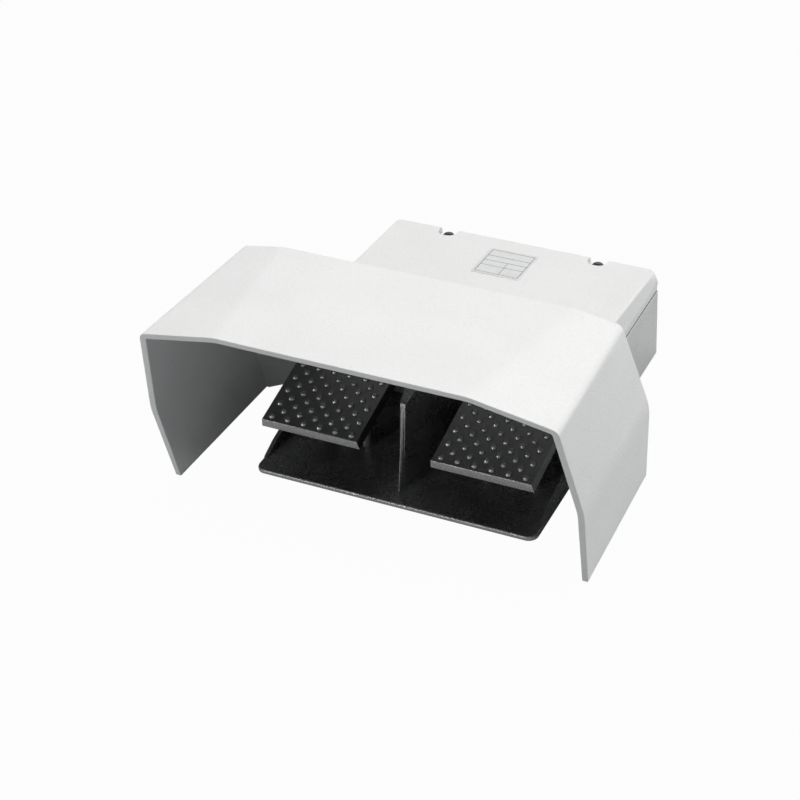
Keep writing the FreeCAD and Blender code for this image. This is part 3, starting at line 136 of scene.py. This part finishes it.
class Shader:
    """A material's node tree, with one method that adds any node."""

    def __init__(self, name):
        self.material = bpy.data.materials.new(name)
        self.material.use_nodes = True
        self.tree = self.material.node_tree
        self.tree.nodes.clear()
        self.output = self.tree.nodes.new("ShaderNodeOutputMaterial")
        self.surface = self.tree.nodes.new("ShaderNodeBsdfPrincipled")
        self.tree.links.new(self.surface.outputs[0], self.output.inputs["Surface"])

    def node(self, kind, settings, inputs, output=0):
        """Adds a node: its settings first, then the values or links of its sockets, by name or number."""
        made = self.tree.nodes.new(kind)
        for name, value in settings.items():
            setattr(made, name, value)
        for name, value in inputs.items():
            self.feed(made.inputs[name], value)
        return Wire(self, made.outputs[output])

    def feed(self, socket, value):
        """Links a socket to a wire or another socket, or sets its value."""
        value = getattr(value, "socket", value)
        if isinstance(value, bpy.types.NodeSocket):
            self.tree.links.new(value, socket)
        else:
            socket.default_value = value

    def set(self, **values):
        """Sets the shader's own sockets; an underscore stands for a space."""
        for name, value in values.items():
            self.feed(self.surface.inputs[name.replace("_", " ")], value)
        return self

    def place(self):
        return self.node("ShaderNodeTexCoord", {}, {}, "Object")

    def axis(self, number):
        return self.node("ShaderNodeSeparateXYZ", {}, {0: self.place()}, number)

    def noise(self, scale, detail=2.0, roughness=0.5):
        return self.node("ShaderNodeTexNoise", {}, {
            "Vector": self.place(), "Scale": scale, "Detail": detail, "Roughness": roughness})

    def grains(self, scale):
        return self.node("ShaderNodeTexVoronoi", {}, {"Vector": self.place(), "Scale": scale}, "Distance")

    def painted_highlight(self):
        """How much painted highlight a face gets: 0 on solids and flat faces, more on rounded edges."""
        return self.node("ShaderNodeAttribute", {"attribute_name": PAINTED_HIGHLIGHT}, {}, "Fac")

    def mix(self, share, first, second):
        return self.node("ShaderNodeMix", {"data_type": "RGBA"}, {0: share, 6: first, 7: second}, 2)

    def bump(self, height, strength, distance):
        return self.node("ShaderNodeBump", {}, {"Height": height, "Strength": strength, "Distance": distance})


def grey(level, tint=(1.0, 1.0, 1.0)):
    """A colour from how light it looks, 0 to 255, with a slight tint."""
    linear = (level / 255.0) ** 2.2
    return tuple(linear * share for share in tint) + (1.0,)


def powder_coat(name, level, roughness, speckle):
    """Satin powder coat: fine orange peel, faint cloudiness and small darker specks."""
    made = Shader(name)
    tint = (1.0, 1.004, 0.985)
    cloudy, darker = 0.985, 0.70
    cloud = made.noise(14.0, 3.0).part(0.35, 0.65)
    fleck = made.noise(900.0, 2.0, 0.7).part(0.50, 0.72)
    paint = made.mix(cloud, grey(level * cloudy, tint), grey(level, tint))
    paint = made.mix(fleck * speckle, paint, grey(level * darker, tint))
    peel = made.noise(620.0, 2.0, 0.6) + made.noise(1900.0, 1.0) * 0.4
    shine = made.noise(90.0, 2.0).part(0.3, 0.7, roughness - 0.05, roughness + 0.05)
    return made.set(Base_Color=paint, Roughness=shine, Specular_IOR_Level=0.35,
                    Normal=made.bump(peel, 0.55, 0.0004)).material


def black_coat(name, level, low, high, strength, grain):
    """Gloss black coat on a sand casting: orange peel, standing grains, a little dust, and painted highlights on
    rounded edges.
    """
    made = Shader(name)
    rough = made.noise(55.0, 4.0, 0.6)
    dust = made.noise(24.0, 3.0).part(0.45, 0.75) * made.noise(700.0, 2.0).part(0.4, 0.7)
    dusty = 1.9
    paint = made.mix(dust, grey(level), grey(level * dusty, (1.0, 1.02, 1.08)))
    speckle = made.noise(1300.0, 2.0, 0.7).part(0.42, 0.58, 0.25, 1.0)
    # Painted highlight: faces marked with it are mixed in speckles towards a light grey.
    highlight_share = made.painted_highlight() * made.noise(260.0, 3.0, 0.7).part(0.30, 0.55, 0.55, 1.0) * speckle
    paint = made.mix(highlight_share, paint, grey(232, (1.0, 1.0, 1.02)))
    skin = made.noise(grain, 3.0, 0.62) + made.grains(grain * 1.7).part(0.0, 0.35, 0.5, 0.0)
    return made.set(Base_Color=paint, Roughness=rough.part(0.3, 0.7, low, high), Specular_IOR_Level=0.9,
                    IOR=1.75, Normal=made.bump(skin, strength, 0.0007)).material


def plain_metal(name, level, roughness, tint=(1.0, 1.0, 1.0)):
    """Turned or plated metal: streaks too fine to see singly, and a few dull patches."""
    made = Shader(name)
    patch = made.noise(180.0, 3.0).part(0.35, 0.7)
    shade = made.mix(patch, grey(level, tint), grey(level * 0.85, tint))
    dull = patch.part(0.0, 1.0, roughness, roughness + 0.12)
    return made.set(Base_Color=shade, Metallic=1.0, Roughness=dull,
                    Normal=made.bump(made.noise(2400.0, 1.0), 0.08, 0.0001)).material


def moulded(name, colour, roughness):
    """Moulded plastic or rubber with a fine matt grain."""
    made = Shader(name)
    bright = tuple(channel * 1.15 for channel in colour[:3]) + (1.0,)
    shade = made.mix(made.noise(60.0, 2.0).part(0.3, 0.7), colour, bright)
    return made.set(Base_Color=shade, Roughness=roughness,
                    Normal=made.bump(made.noise(1500.0, 2.0), 0.12, 0.0002)).material


def plate_finish(name, middle, reach):
    """Printed aluminium plate: a thin dark frame and empty ruled fields on a pale grey ground."""
    made = Shader(name)
    across = (made.axis(0) - middle.x) / reach.x
    along = (made.axis(1) - middle.y) / reach.y
    edge = across.absolute().larger(along.absolute())
    frame_start, frame_end = 0.86, 0.885
    rows = (0.42, 0.05, -0.32)
    column, row_half, column_half = 0.1, 0.012, 0.010
    inside = edge.below(frame_start)
    lines = edge.above(frame_start) * edge.below(frame_end)
    for row in rows:
        lines = lines.larger((along - row).absolute().below(row_half) * inside)
    divider = (across - column).absolute().below(column_half) * along.below(rows[1]) * inside
    lines = lines.larger(divider)
    ground = made.mix(made.noise(240.0, 3.0).part(0.3, 0.7), grey(218), grey(227))
    return made.set(Base_Color=made.mix(lines * 0.9, ground, grey(56)), Roughness=0.36, Metallic=0.0,
                    Normal=made.bump(made.noise(1400.0, 2.0), 0.10, 0.0002)).material


class FootSwitchSettings(bpy.types.PropertyGroup):
    """Sizes and colours that a user would change."""

    paint_level: bpy.props.FloatProperty(
        name="Paint lightness", description="How light the grey powder coat looks, 0 to 255", default=240.0,
        min=60.0, max=250.0)
    coat_level: bpy.props.FloatProperty(
        name="Black lightness", description="How light the black coat looks, 0 to 255", default=66.0,
        min=2.0, max=90.0)
    casting_edge: bpy.props.FloatProperty(
        name="Casting edges", description="Rounding of the castings' visible edges", default=0.7 * MM,
        min=0.1 * MM, max=2.0 * MM, unit="LENGTH")
    stud_radius: bpy.props.FloatProperty(
        name="Stud radius", description="Foot radius of the domed studs on the pedals", default=2.6 * MM,
        min=1.5 * MM, max=4.0 * MM, unit="LENGTH")
    stud_height: bpy.props.FloatProperty(
        name="Stud height", description="Height of the domed studs on the pedals", default=1.9 * MM,
        min=0.5 * MM, max=2.5 * MM, unit="LENGTH")
    nose_lean: bpy.props.FloatProperty(
        name="Nose lean", description="Backward lean of the centre wall's nose", default=math.radians(12.0),
        min=0.0, max=math.radians(20.0), subtype="ANGLE")


def settings():
    """The user's sizes and colours."""
    return bpy.context.scene.foot_switch


def join_flat_faces(shape):
    bmesh.ops.dissolve_limit(shape, angle_limit=FLAT, use_dissolve_boundaries=False,
                             verts=shape.verts, edges=shape.edges)


def merged(node):
    """A solid's mesh with its loose triangles joined into whole faces."""
    shape = bmesh.new()
    shape.from_mesh(frame["nodes"][node].data)
    shape.faces.layers.float.new(PAINTED_HIGHLIGHT)
    bmesh.ops.remove_doubles(shape, verts=shape.verts, dist=0.002 * MM)
    join_flat_faces(shape)
    return shape


def round_edges(shape, width, segments=2, sharper=math.radians(34.0), where=None, highlight=None):
    """Rounds the edges that turn by more than an angle, all of them or those that pass a test.

    A highlight function says how much painted highlight each rounded face gets, from 0 to 1.
    """
    edges = [edge for edge in shape.edges
             if edge.is_manifold and edge.calc_face_angle() > sharper and (where is None or where(edge))]
    made = bmesh.ops.bevel(shape, geom=edges, offset=width, offset_type="OFFSET", affect="EDGES",
                           segments=segments, profile=0.5, material=-1, clamp_overlap=False)
    if highlight:
        painted_highlight = shape.faces.layers.float[PAINTED_HIGHLIGHT]
        for face in made["faces"]:
            face[painted_highlight] = highlight(face)


def make_piece(name, shape, body, slot, nodes=(), material=None, crease=math.radians(32.0)):
    """Turns a shape into a piece that rides on a body and stands for solids."""
    mesh = bpy.data.meshes.new(name)
    shape.to_mesh(mesh)
    shape.free()
    mesh.shade_smooth()
    mesh.set_sharp_from_angle(angle=crease)
    mesh.materials.append(material or FINISHES[slot])
    piece = bpy.data.objects.new(name, mesh)
    bpy.context.scene.collection.objects.link(piece)
    shading = piece.modifiers.new("even_shading", "WEIGHTED_NORMAL")
    shading.keep_sharp = True
    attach(piece, body)
    if nodes:
        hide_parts(*nodes)
    return piece


def rounded_piece(name, node, width, segments=2, material=None, where=None):
    """Makes a solid's stand-in: the same form with its sharp edges rounded."""
    shape = merged(node)
    round_edges(shape, width, segments, where=where)
    return make_piece(name, shape, BODY_OF[node], SLOT_OF[node], (node,), material)


class StageOperator(bpy.types.Operator):
    """Sets the camera, the pale floor, the soft lamps and the world"""

    bl_idname = "footswitch.stage"
    bl_label = "Stage"

    # The camera's turn and place are fitted to the photograph.
    azimuth = math.radians(27.406)
    elevation = math.radians(35.850)
    roll = math.radians(-3.607)
    camera_spot = Vector((0.5291, -1.08795, 0.9054))
    focal_length = 95.95
    sensor_width = 36.0
    view_end = 20.0
    floor_half = 6.0
    floor_white = 0.97
    # Gloss doesn't mirror the white floor from under the object, where it is in shadow.
    covered = Vector((0.15, 0.12))
    covered_middle = 0.03
    aim = Vector((0.0, 0.0, 0.05))
    white = (1.0, 1.0, 1.0, 1.0)
    room_strength = 0.04
    room_colour = (0.85, 0.95, 1.1, 1.0)
    lamps = (
        ("top_lamp", (0.15, 0.08, 2.0), (1.4, 1.4), 33.0),
        ("rear_side_lamp", (1.75, 0.8, 0.75), (1.0, 1.0), 12.5),
        ("low_side_lamp", (1.9, -0.35, 0.5), (1.0, 1.0), 2.5),
        ("front_strip_lamp", (-0.9, -1.95, 0.65), (0.12, 1.1), 12.0),
    )

    def execute(self, context):
        scene = context.scene
        scene.view_settings.view_transform = "Standard"
        self.place_camera(scene)
        self.make_floor(scene)
        self.make_world(scene)
        self.make_lamps(scene)
        return {"FINISHED"}

    def place_camera(self, scene):
        back = Vector((math.sin(self.azimuth) * math.cos(self.elevation),
                       -math.cos(self.azimuth) * math.cos(self.elevation), math.sin(self.elevation)))
        right = Vector((math.cos(self.azimuth), math.sin(self.azimuth), 0.0))
        up = back.cross(right)
        across = right * math.cos(self.roll) + up * math.sin(self.roll)
        upward = up * math.cos(self.roll) - right * math.sin(self.roll)
        lens = bpy.data.cameras.new("photo_camera")
        lens.sensor_width = self.sensor_width
        lens.lens = self.focal_length
        lens.clip_end = self.view_end
        camera = bpy.data.objects.new("photo_camera", lens)
        turn = Matrix((across, upward, back)).transposed().to_4x4()
        camera.matrix_world = Matrix.Translation(self.camera_spot) @ turn
        scene.collection.objects.link(camera)
        scene.camera = camera

    def make_floor(self, scene):
        mesh = bpy.data.meshes.new("floor")
        shape = bmesh.new()
        bmesh.ops.create_grid(shape, x_segments=1, y_segments=1, size=self.floor_half)
        shape.to_mesh(mesh)
        shape.free()
        floor = bpy.data.objects.new("floor", mesh)
        scene.collection.objects.link(floor)
        made = Shader("pale_floor")
        made.set(Base_Color=grey(145, (0.96, 1.0, 1.05)), Roughness=0.9, Specular_IOR_Level=0.1)
        seen = made.node("ShaderNodeLightPath", {}, {}, "Is Camera Ray")
        mirrored = made.node("ShaderNodeLightPath", {}, {}, "Is Glossy Ray")
        white = made.node("ShaderNodeEmission", {}, {"Color": self.white, "Strength": 1.0})
        beside = made.axis(0).absolute() / self.covered.x
        along = (made.axis(1) - self.covered_middle).absolute() / self.covered.y
        share = (seen * self.floor_white).larger(mirrored * beside.larger(along).part(0.9, 1.05))
        blend = made.node("ShaderNodeMixShader", {}, {0: share, 1: made.surface.outputs[0], 2: white})
        made.tree.links.new(blend.socket, made.output.inputs["Surface"])
        mesh.materials.append(made.material)

    def make_world(self, scene):
        world = bpy.data.worlds.new("soft_studio")
        world.use_nodes = True
        tree = world.node_tree
        tree.nodes.clear()
        path = tree.nodes.new("ShaderNodeLightPath")
        shown = path.outputs["Is Camera Ray"]
        for kind in ("Is Glossy Ray", "Is Transmission Ray"):
            either = tree.nodes.new("ShaderNodeMath")
            either.operation = "MAXIMUM"
            tree.links.new(shown, either.inputs[0])
            tree.links.new(path.outputs[kind], either.inputs[1])
            shown = either.outputs[0]
        blend = tree.nodes.new("ShaderNodeMixShader")
        output = tree.nodes.new("ShaderNodeOutputWorld")
        tree.links.new(shown, blend.inputs[0])
        for number, strength, colour in ((1, self.room_strength, self.room_colour), (2, 1.0, self.white)):
            light = tree.nodes.new("ShaderNodeBackground")
            light.inputs["Strength"].default_value = strength
            light.inputs["Color"].default_value = colour
            tree.links.new(light.outputs[0], blend.inputs[number])
        tree.links.new(blend.outputs[0], output.inputs["Surface"])
        scene.world = world

    def make_lamps(self, scene):
        for name, spot, size, power in self.lamps:
            lamp = bpy.data.lights.new(name, "AREA")
            lamp.shape = "RECTANGLE"
            lamp.size, lamp.size_y = size
            lamp.energy = power
            holder = bpy.data.objects.new(name, lamp)
            turn = (self.aim - Vector(spot)).to_track_quat("-Z", "Y").to_matrix().to_4x4()
            holder.matrix_world = Matrix.Translation(spot) @ turn
            scene.collection.objects.link(holder)


class FinishOperator(bpy.types.Operator):
    """Makes the finishes and gives every solid the one of its slot"""

    bl_idname = "footswitch.finishes"
    bl_label = "Finishes"

    pedal_lightness = 0.45

    def execute(self, context):
        paint = settings().paint_level
        coat = settings().coat_level
        FINISHES.update({
            "cream_casting": powder_coat("grey_powder_coat", paint, roughness=0.46, speckle=0.18),
            "black_casting": black_coat(
                "gloss_black_coat", coat, low=0.20, high=0.34, strength=0.5, grain=520.0),
            "pedal_casting": black_coat(
                "pedal_coat", coat * self.pedal_lightness, low=0.12, high=0.24, strength=0.3, grain=900.0),
            "bright_steel": plain_metal("ground_steel", 190, 0.22),
            "dark_screws": plain_metal("blackened_steel", 96, 0.34),
            "zinc_screws": plain_metal("zinc_plate", 200, 0.30, (1.0, 0.99, 0.96)),
            "spring_steel": plain_metal("spring_steel", 150, 0.30),
            "rubber": moulded("black_rubber", grey(26), 0.75),
            "label_plate": moulded("plate_back", grey(204), 0.42),
            "bush_metal": plain_metal("sintered_bronze", 170, 0.42, (1.0, 0.72, 0.42)),
            "switch_plastic": moulded("black_plastic", grey(38), 0.5),
            "lid_plastic": moulded("red_plastic", (0.30, 0.03, 0.02, 1.0), 0.45),
            "carrier_plastic": moulded("ivory_plastic", grey(205, (1.0, 0.97, 0.86)), 0.45),
            "contact_metal": plain_metal("contact_brass", 205, 0.25, (1.0, 0.80, 0.45)),
        })
        for node, slot in SLOT_OF.items():
            mesh = frame["nodes"][node].data
            mesh.materials.clear()
            mesh.materials.append(FINISHES[slot])
        return {"FINISHED"}


class HoodOperator(bpy.types.Operator):
    """Makes the guard hood with its rounded rim"""

    bl_idname = "footswitch.hood"
    bl_label = "Guard hood"

    ear_reach = Vector((115.0 * MM, -12.0 * MM, 60.0 * MM))

    def execute(self, context):
        rounded_piece("hood_finished", "hood", settings().casting_edge, where=self.away_from_ears)
        return {"FINISHED"}

    def away_from_ears(self, edge):
        """The ears that grip the box, and the wall's feet beside them, stay sharp."""
        return not any(abs(vert.co.x) < self.ear_reach.x and vert.co.y > self.ear_reach.y
                       and vert.co.z < self.ear_reach.z for vert in edge.verts)


class BoxOperator(bpy.types.Operator):
    """Makes the cover, and the switch box in a slightly darker and rougher coat"""

    bl_idname = "footswitch.box"
    bl_label = "Switch box and cover"

    cover_edge = 0.5 * MM
    box_edge = 0.4 * MM
    box_lightness = 0.90
    rim = 1.5 * MM
    upward = 0.9

    def execute(self, context):
        low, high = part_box("cover")
        rounded_piece("cover_finished", "cover", self.cover_edge,
                      where=lambda edge: self.shows(edge, low, high))
        box_coat = powder_coat("box_powder_coat", settings().paint_level * self.box_lightness,
                               roughness=0.5, speckle=0.45)
        rounded_piece("switch_housing_finished", "switch_housing", self.box_edge, 1, box_coat)
        return {"FINISHED"}

    def shows(self, edge, low, high):
        """True for edges of the cover's top and outline; its inside stays sharp."""
        outline = all(abs(vert.co.x) > high.x - self.rim
                      or not low.y + self.rim < vert.co.y < high.y - self.rim for vert in edge.verts)
        return outline or any(face.normal.z > self.upward for face in edge.link_faces)


class PlateOperator(bpy.types.Operator):
    """Makes the blank type plate with its printed frame"""

    bl_idname = "footswitch.type_plate"
    bl_label = "Type plate"

    plate_edge = 0.1 * MM

    def execute(self, context):
        low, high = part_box("type_plate")
        finish = plate_finish("printed_plate", (low + high) / 2, (high - low) / 2)
        rounded_piece("type_plate_finished", "type_plate", self.plate_edge, 1, finish)
        return {"FINISHED"}


class BaseOperator(bpy.types.Operator):
    """Makes the black base with its rolled edges and the leaning nose of its centre wall"""

    bl_idname = "footswitch.base"
    bl_label = "Base"

    plate_top = 4.5 * MM
    roll = 1.1 * MM
    roll_reach = 7.2 * MM
    fine_edge = 0.3 * MM
    shortest_edge = 3.0 * MM
    flange_start = 30.0 * MM
    flange_inside = 60.0 * MM
    half_wall = 6.6 * MM
    wedge_start = -40.0 * MM
    nose_share = 0.13
    nose_reach = 15.0 * MM

    def execute(self, context):
        shape = merged("base_casting")
        self.sharpen_wall(shape)
        front = min(vert.co.y for vert in shape.verts)
        round_edges(shape, self.roll, 4, where=lambda edge: self.in_front_rim(edge, front),
                    highlight=self.roll_highlight)
        round_edges(shape, self.fine_edge, 1, where=lambda edge: self.off_flange_feet(edge, front),
                    highlight=self.nose_highlight)
        make_piece("base_casting_finished", shape, "base", SLOT_OF["base_casting"], ("base_casting",))
        return {"FINISHED"}

    def in_front_rim(self, edge, front):
        """True for edges of the plate's top along the front and its corners."""
        return all(abs(vert.co.z - self.plate_top) < HAIR / 2 and vert.co.y < front + self.roll_reach
                   for vert in edge.verts)

    def off_flange_feet(self, edge, front):
        """True for long edges away from the side flanges' feet, where a rounding would run out of wall."""
        return edge.calc_length() > self.shortest_edge and all(
            vert.co.y > front + self.flange_start or abs(vert.co.x) < self.flange_inside
            for vert in edge.verts)

    def roll_highlight(self, face):
        """A painted highlight runs in one narrow line along the roll, below the plate's top."""
        return 1.0 if 0.7 < face.normal.z < 0.9 else 0.0

    def nose_highlight(self, face):
        """A painted highlight runs down the centre wall's nose."""
        middle = face.calc_center_median()
        ahead = abs(middle.x) < self.half_wall and middle.y < self.wedge_start
        return 1.0 if ahead and face.normal.y < -0.5 and face.normal.z < 0.5 else 0.0

    def sharpen_wall(self, shape):
        """Thins the centre wall to a narrow nose, which leans back from its foot."""
        wall = [face for face in shape.faces if all(abs(vert.co.x) < self.half_wall for vert in face.verts)]
        edges = {edge for face in wall for edge in face.edges}
        verts = {vert for face in wall for vert in face.verts}
        bmesh.ops.bisect_plane(shape, geom=wall + list(edges) + list(verts), dist=1e-6,
                               plane_co=(0, self.wedge_start, 0), plane_no=(0, 1, 0))
        ahead = [vert for vert in shape.verts if abs(vert.co.x) < self.half_wall
                 and vert.co.y < self.wedge_start - HAIR / 10]
        nose = min(vert.co.y for vert in ahead)
        for vert in ahead:
            share = (vert.co.y - self.wedge_start) / (nose - self.wedge_start)
            vert.co.x *= 1.0 + (self.nose_share - 1.0) * share
        for vert in ahead:
            if vert.co.z > self.plate_top:
                share = max(0.0, 1.0 - (vert.co.y - nose) / self.nose_reach)
                vert.co.y += (vert.co.z - self.plate_top) * math.tan(settings().nose_lean) * share


class PedalsOperator(bpy.types.Operator):
    """Makes the two pedals with square front corners, drawn-in sides and domed studs"""

    bl_idname = "footswitch.pedals"
    bl_label = "Pedals"

    corner = 3.0 * MM
    edge_width = 0.6 * MM
    lip_height = 7.5 * MM
    draw_in = 1.2 * MM
    smallest_deck = 100.0 * MM * MM
    dome_facets = 14
    # Shares of painted highlight on the pedal's edges and studs, and of painted reflection on the lip's face.
    top_edge_highlight = 0.6
    low_edge_highlight = 0.3
    side_highlight = 0.04
    lip_reflection = 0.16
    stud_highlight = 0.12

    def execute(self, context):
        for side, sign in (("left", -1), ("right", 1)):
            self.make_pedal(side, sign)
        return {"FINISHED"}

    def make_pedal(self, side, sign):
        node = "pedal_" + side
        shape = merged(node)
        pivot = Vector((sign * PEDAL_PIVOT.x, PEDAL_PIVOT.y, PEDAL_PIVOT.z))
        to_deck = Matrix.Rotation(-PEDAL_SLOPE, 4, "X") @ Matrix.Translation(-pivot)
        bmesh.ops.transform(shape, matrix=to_deck, verts=shape.verts)
        deck = max(face.calc_center_median().z for face in shape.faces
                   if face.calc_area() > self.smallest_deck)
        centres = self.strip_studs(shape, deck)
        self.square_corners(shape, deck)
        bmesh.ops.remove_doubles(shape, verts=shape.verts, dist=HAIR / 5)
        join_flat_faces(shape)
        self.round_outline(shape, deck)
        self.paint_lip_reflection(shape, deck)
        self.add_studs(shape, centres, deck)
        bmesh.ops.transform(shape, matrix=to_deck.inverted(), verts=shape.verts)
        make_piece(node + "_finished", shape, BODY_OF[node], SLOT_OF[node], (node,))

    def strip_studs(self, shape, deck):
        """Takes the solid's short studs off the deck and returns where they stood."""
        stud_top = max(vert.co.z for vert in shape.verts)
        tops = [face for face in shape.faces if min(vert.co.z for vert in face.verts) > stud_top - HAIR / 5]
        centres = [face.calc_center_median() for face in tops]
        raised = [face for face in shape.faces if face.calc_center_median().z > deck + HAIR]
        bmesh.ops.delete(shape, geom=raised, context="FACES")
        rims = [edge for edge in shape.edges if edge.is_boundary]
        bmesh.ops.holes_fill(shape, edges=rims, sides=0)
        join_flat_faces(shape)
        return centres

    def round_outline(self, shape, deck):
        """Rounds the lip and the deck's sides; the hollow underneath stays sharp."""
        reach = max(vert.co.x for vert in shape.verts) - self.corner
        front = min(vert.co.y for vert in shape.verts) + self.corner
        lowest = deck - self.lip_height - 2 * HAIR
        round_edges(
            shape, self.edge_width, highlight=lambda face: self.edge_highlight(face, deck), where=lambda edge: all(
                vert.co.z > lowest and (abs(vert.co.x) > reach or vert.co.y < front) for vert in edge.verts))

    def edge_highlight(self, face, deck):
        """The lip's upper edge gets the most painted highlight, its lower edge a little and the sides hardly any.
        """
        if face.normal.y > -0.25:
            return self.side_highlight
        upper = face.calc_center_median().z > deck - self.lip_height / 5
        return self.top_edge_highlight if upper else self.low_edge_highlight

    def paint_lip_reflection(self, shape, deck):
        """The lip's front face gets a speckled painted reflection of the floor."""
        painted_highlight = shape.faces.layers.float[PAINTED_HIGHLIGHT]
        for face in shape.faces:
            if face.normal.y < -0.9 and face.calc_center_median().z > deck - self.lip_height:
                face[painted_highlight] = self.lip_reflection

    def square_corners(self, shape, deck):
        """Squares the front corners and draws the sides in towards the deck, as a casting's draft does."""
        wide = max(vert.co.x for vert in shape.verts)
        front = min(vert.co.y for vert in shape.verts)
        for vert in shape.verts:
            away = Vector((abs(vert.co.x) - wide + self.corner, front + self.corner - vert.co.y))
            if min(away) > HAIR / 100 and vert.co.z > deck - self.lip_height - HAIR:
                away *= away.length / max(away)
                if min(away) > self.corner / 2:
                    away = Vector((self.corner, self.corner))
                vert.co.x = math.copysign(wide - self.corner + away.x, vert.co.x)
                vert.co.y = front + self.corner - away.y
        for vert in shape.verts:
            share = 1.0 + (vert.co.z - deck) / self.lip_height
            limit = wide - self.draw_in * max(share, 0.0)
            if abs(vert.co.x) > limit:
                vert.co.x = math.copysign(limit, vert.co.x)

    def add_studs(self, shape, centres, deck):
        """Sets a shallow dome on each stud's place, with a little painted highlight on its upper side."""
        radius, height = settings().stud_radius, settings().stud_height
        ball = (radius * radius + height * height) / (2 * height)
        painted_highlight = shape.faces.layers.float[PAINTED_HIGHLIGHT]
        for centre in centres:
            middle = Matrix.Translation((centre.x, centre.y, deck + height - ball))
            dome = bmesh.ops.create_uvsphere(shape, u_segments=self.dome_facets, v_segments=self.dome_facets,
                                             radius=ball, matrix=middle)["verts"]
            faces = list(dict.fromkeys(face for vert in dome for face in vert.link_faces))
            edges = list(dict.fromkeys(edge for vert in dome for edge in vert.link_edges))
            for face in faces:
                face[painted_highlight] = self.stud_highlight if face.normal.z > 0.3 else 0.0
            bmesh.ops.bisect_plane(shape, geom=dome + faces + edges, dist=HAIR / 1000,
                                   plane_co=(0, 0, deck - HAIR), plane_no=(0, 0, 1), clear_inner=True)


class SpringsOperator(bpy.types.Operator):
    """Makes the coil springs with smooth shading"""

    bl_idname = "footswitch.springs"
    bl_label = "Springs"

    pedal_keep = 0.77
    contact_keep = 0.48
    wire_crease = math.radians(70.0)

    def execute(self, context):
        for side in ("left", "right"):
            node = "pedal_spring_" + side
            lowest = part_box(node)[0]
            self.make_spring(node, side + "_pedal_press", (0.0, 0.0, 1.0), lowest, self.pedal_keep)
            node = "contact_spring_" + side
            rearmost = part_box(node)[1]
            self.make_spring(node, side + "_plunger_travel", (0.0, 1.0, 0.0), rearmost, self.contact_keep)
        return {"FINISHED"}

    def make_spring(self, node, joint, axis, seat, keep):
        """Makes a smooth-shaded stand-in for the spring, with a mesh of its own."""
        piece = make_piece(node + "_finished", merged(node), BODY_OF[node], SLOT_OF[node], (node,),
                           crease=self.wire_crease)
        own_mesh(piece)


class FastenersOperator(bpy.types.Operator):
    """Makes the screws, nuts and clips that show, with their edges broken"""

    bl_idname = "footswitch.fasteners"
    bl_label = "Fasteners"

    broken_edge = 0.2 * MM
    nodes = ("cover_screws", "hood_screws", "base_screws", "shaft_clips", "lock_nut_left", "lock_nut_right")

    def execute(self, context):
        for node in self.nodes:
            rounded_piece(node + "_finished", node, self.broken_edge)
        return {"FINISHED"}


class RubberOperator(bpy.types.Operator):
    """Makes the rubber feet, stops and buffers with soft edges"""

    bl_idname = "footswitch.rubber"
    bl_label = "Rubber parts"

    soft_edge = 0.4 * MM
    nodes = ("foot_pads", "rest_stops", "end_buffers")

    def execute(self, context):
        for node in self.nodes:
            rounded_piece(node + "_finished", node, self.soft_edge)
        return {"FINISHED"}


class FootSwitchPanel(bpy.types.Panel):
    """The foot switch's pieces, in the sidebar"""

    bl_label = "Foot switch"
    bl_idname = "VIEW3D_PT_foot_switch"
    bl_space_type = "VIEW_3D"
    bl_region_type = "UI"
    bl_category = "Foot switch"

    def draw(self, context):
        for operator in OPERATORS:
            self.layout.operator(operator.bl_idname)
        for name in FootSwitchSettings.__annotations__:
            self.layout.prop(context.scene.foot_switch, name)


OPERATORS = (StageOperator, FinishOperator, HoodOperator, BoxOperator, PlateOperator, BaseOperator,
             PedalsOperator, SpringsOperator, FastenersOperator, RubberOperator)
CLASSES = (FootSwitchSettings,) + OPERATORS + (FootSwitchPanel,)


def register():
    for item in CLASSES:
        bpy.utils.register_class(item)
    bpy.types.Scene.foot_switch = bpy.props.PointerProperty(type=FootSwitchSettings)


def unregister():
    del bpy.types.Scene.foot_switch
    for item in reversed(CLASSES):
        bpy.utils.unregister_class(item)


def main():
    register()
    for operator in OPERATORS:
        group, name = operator.bl_idname.split(".")
        getattr(getattr(bpy.ops, group), name)()


if __name__ == "__main__":
    main()
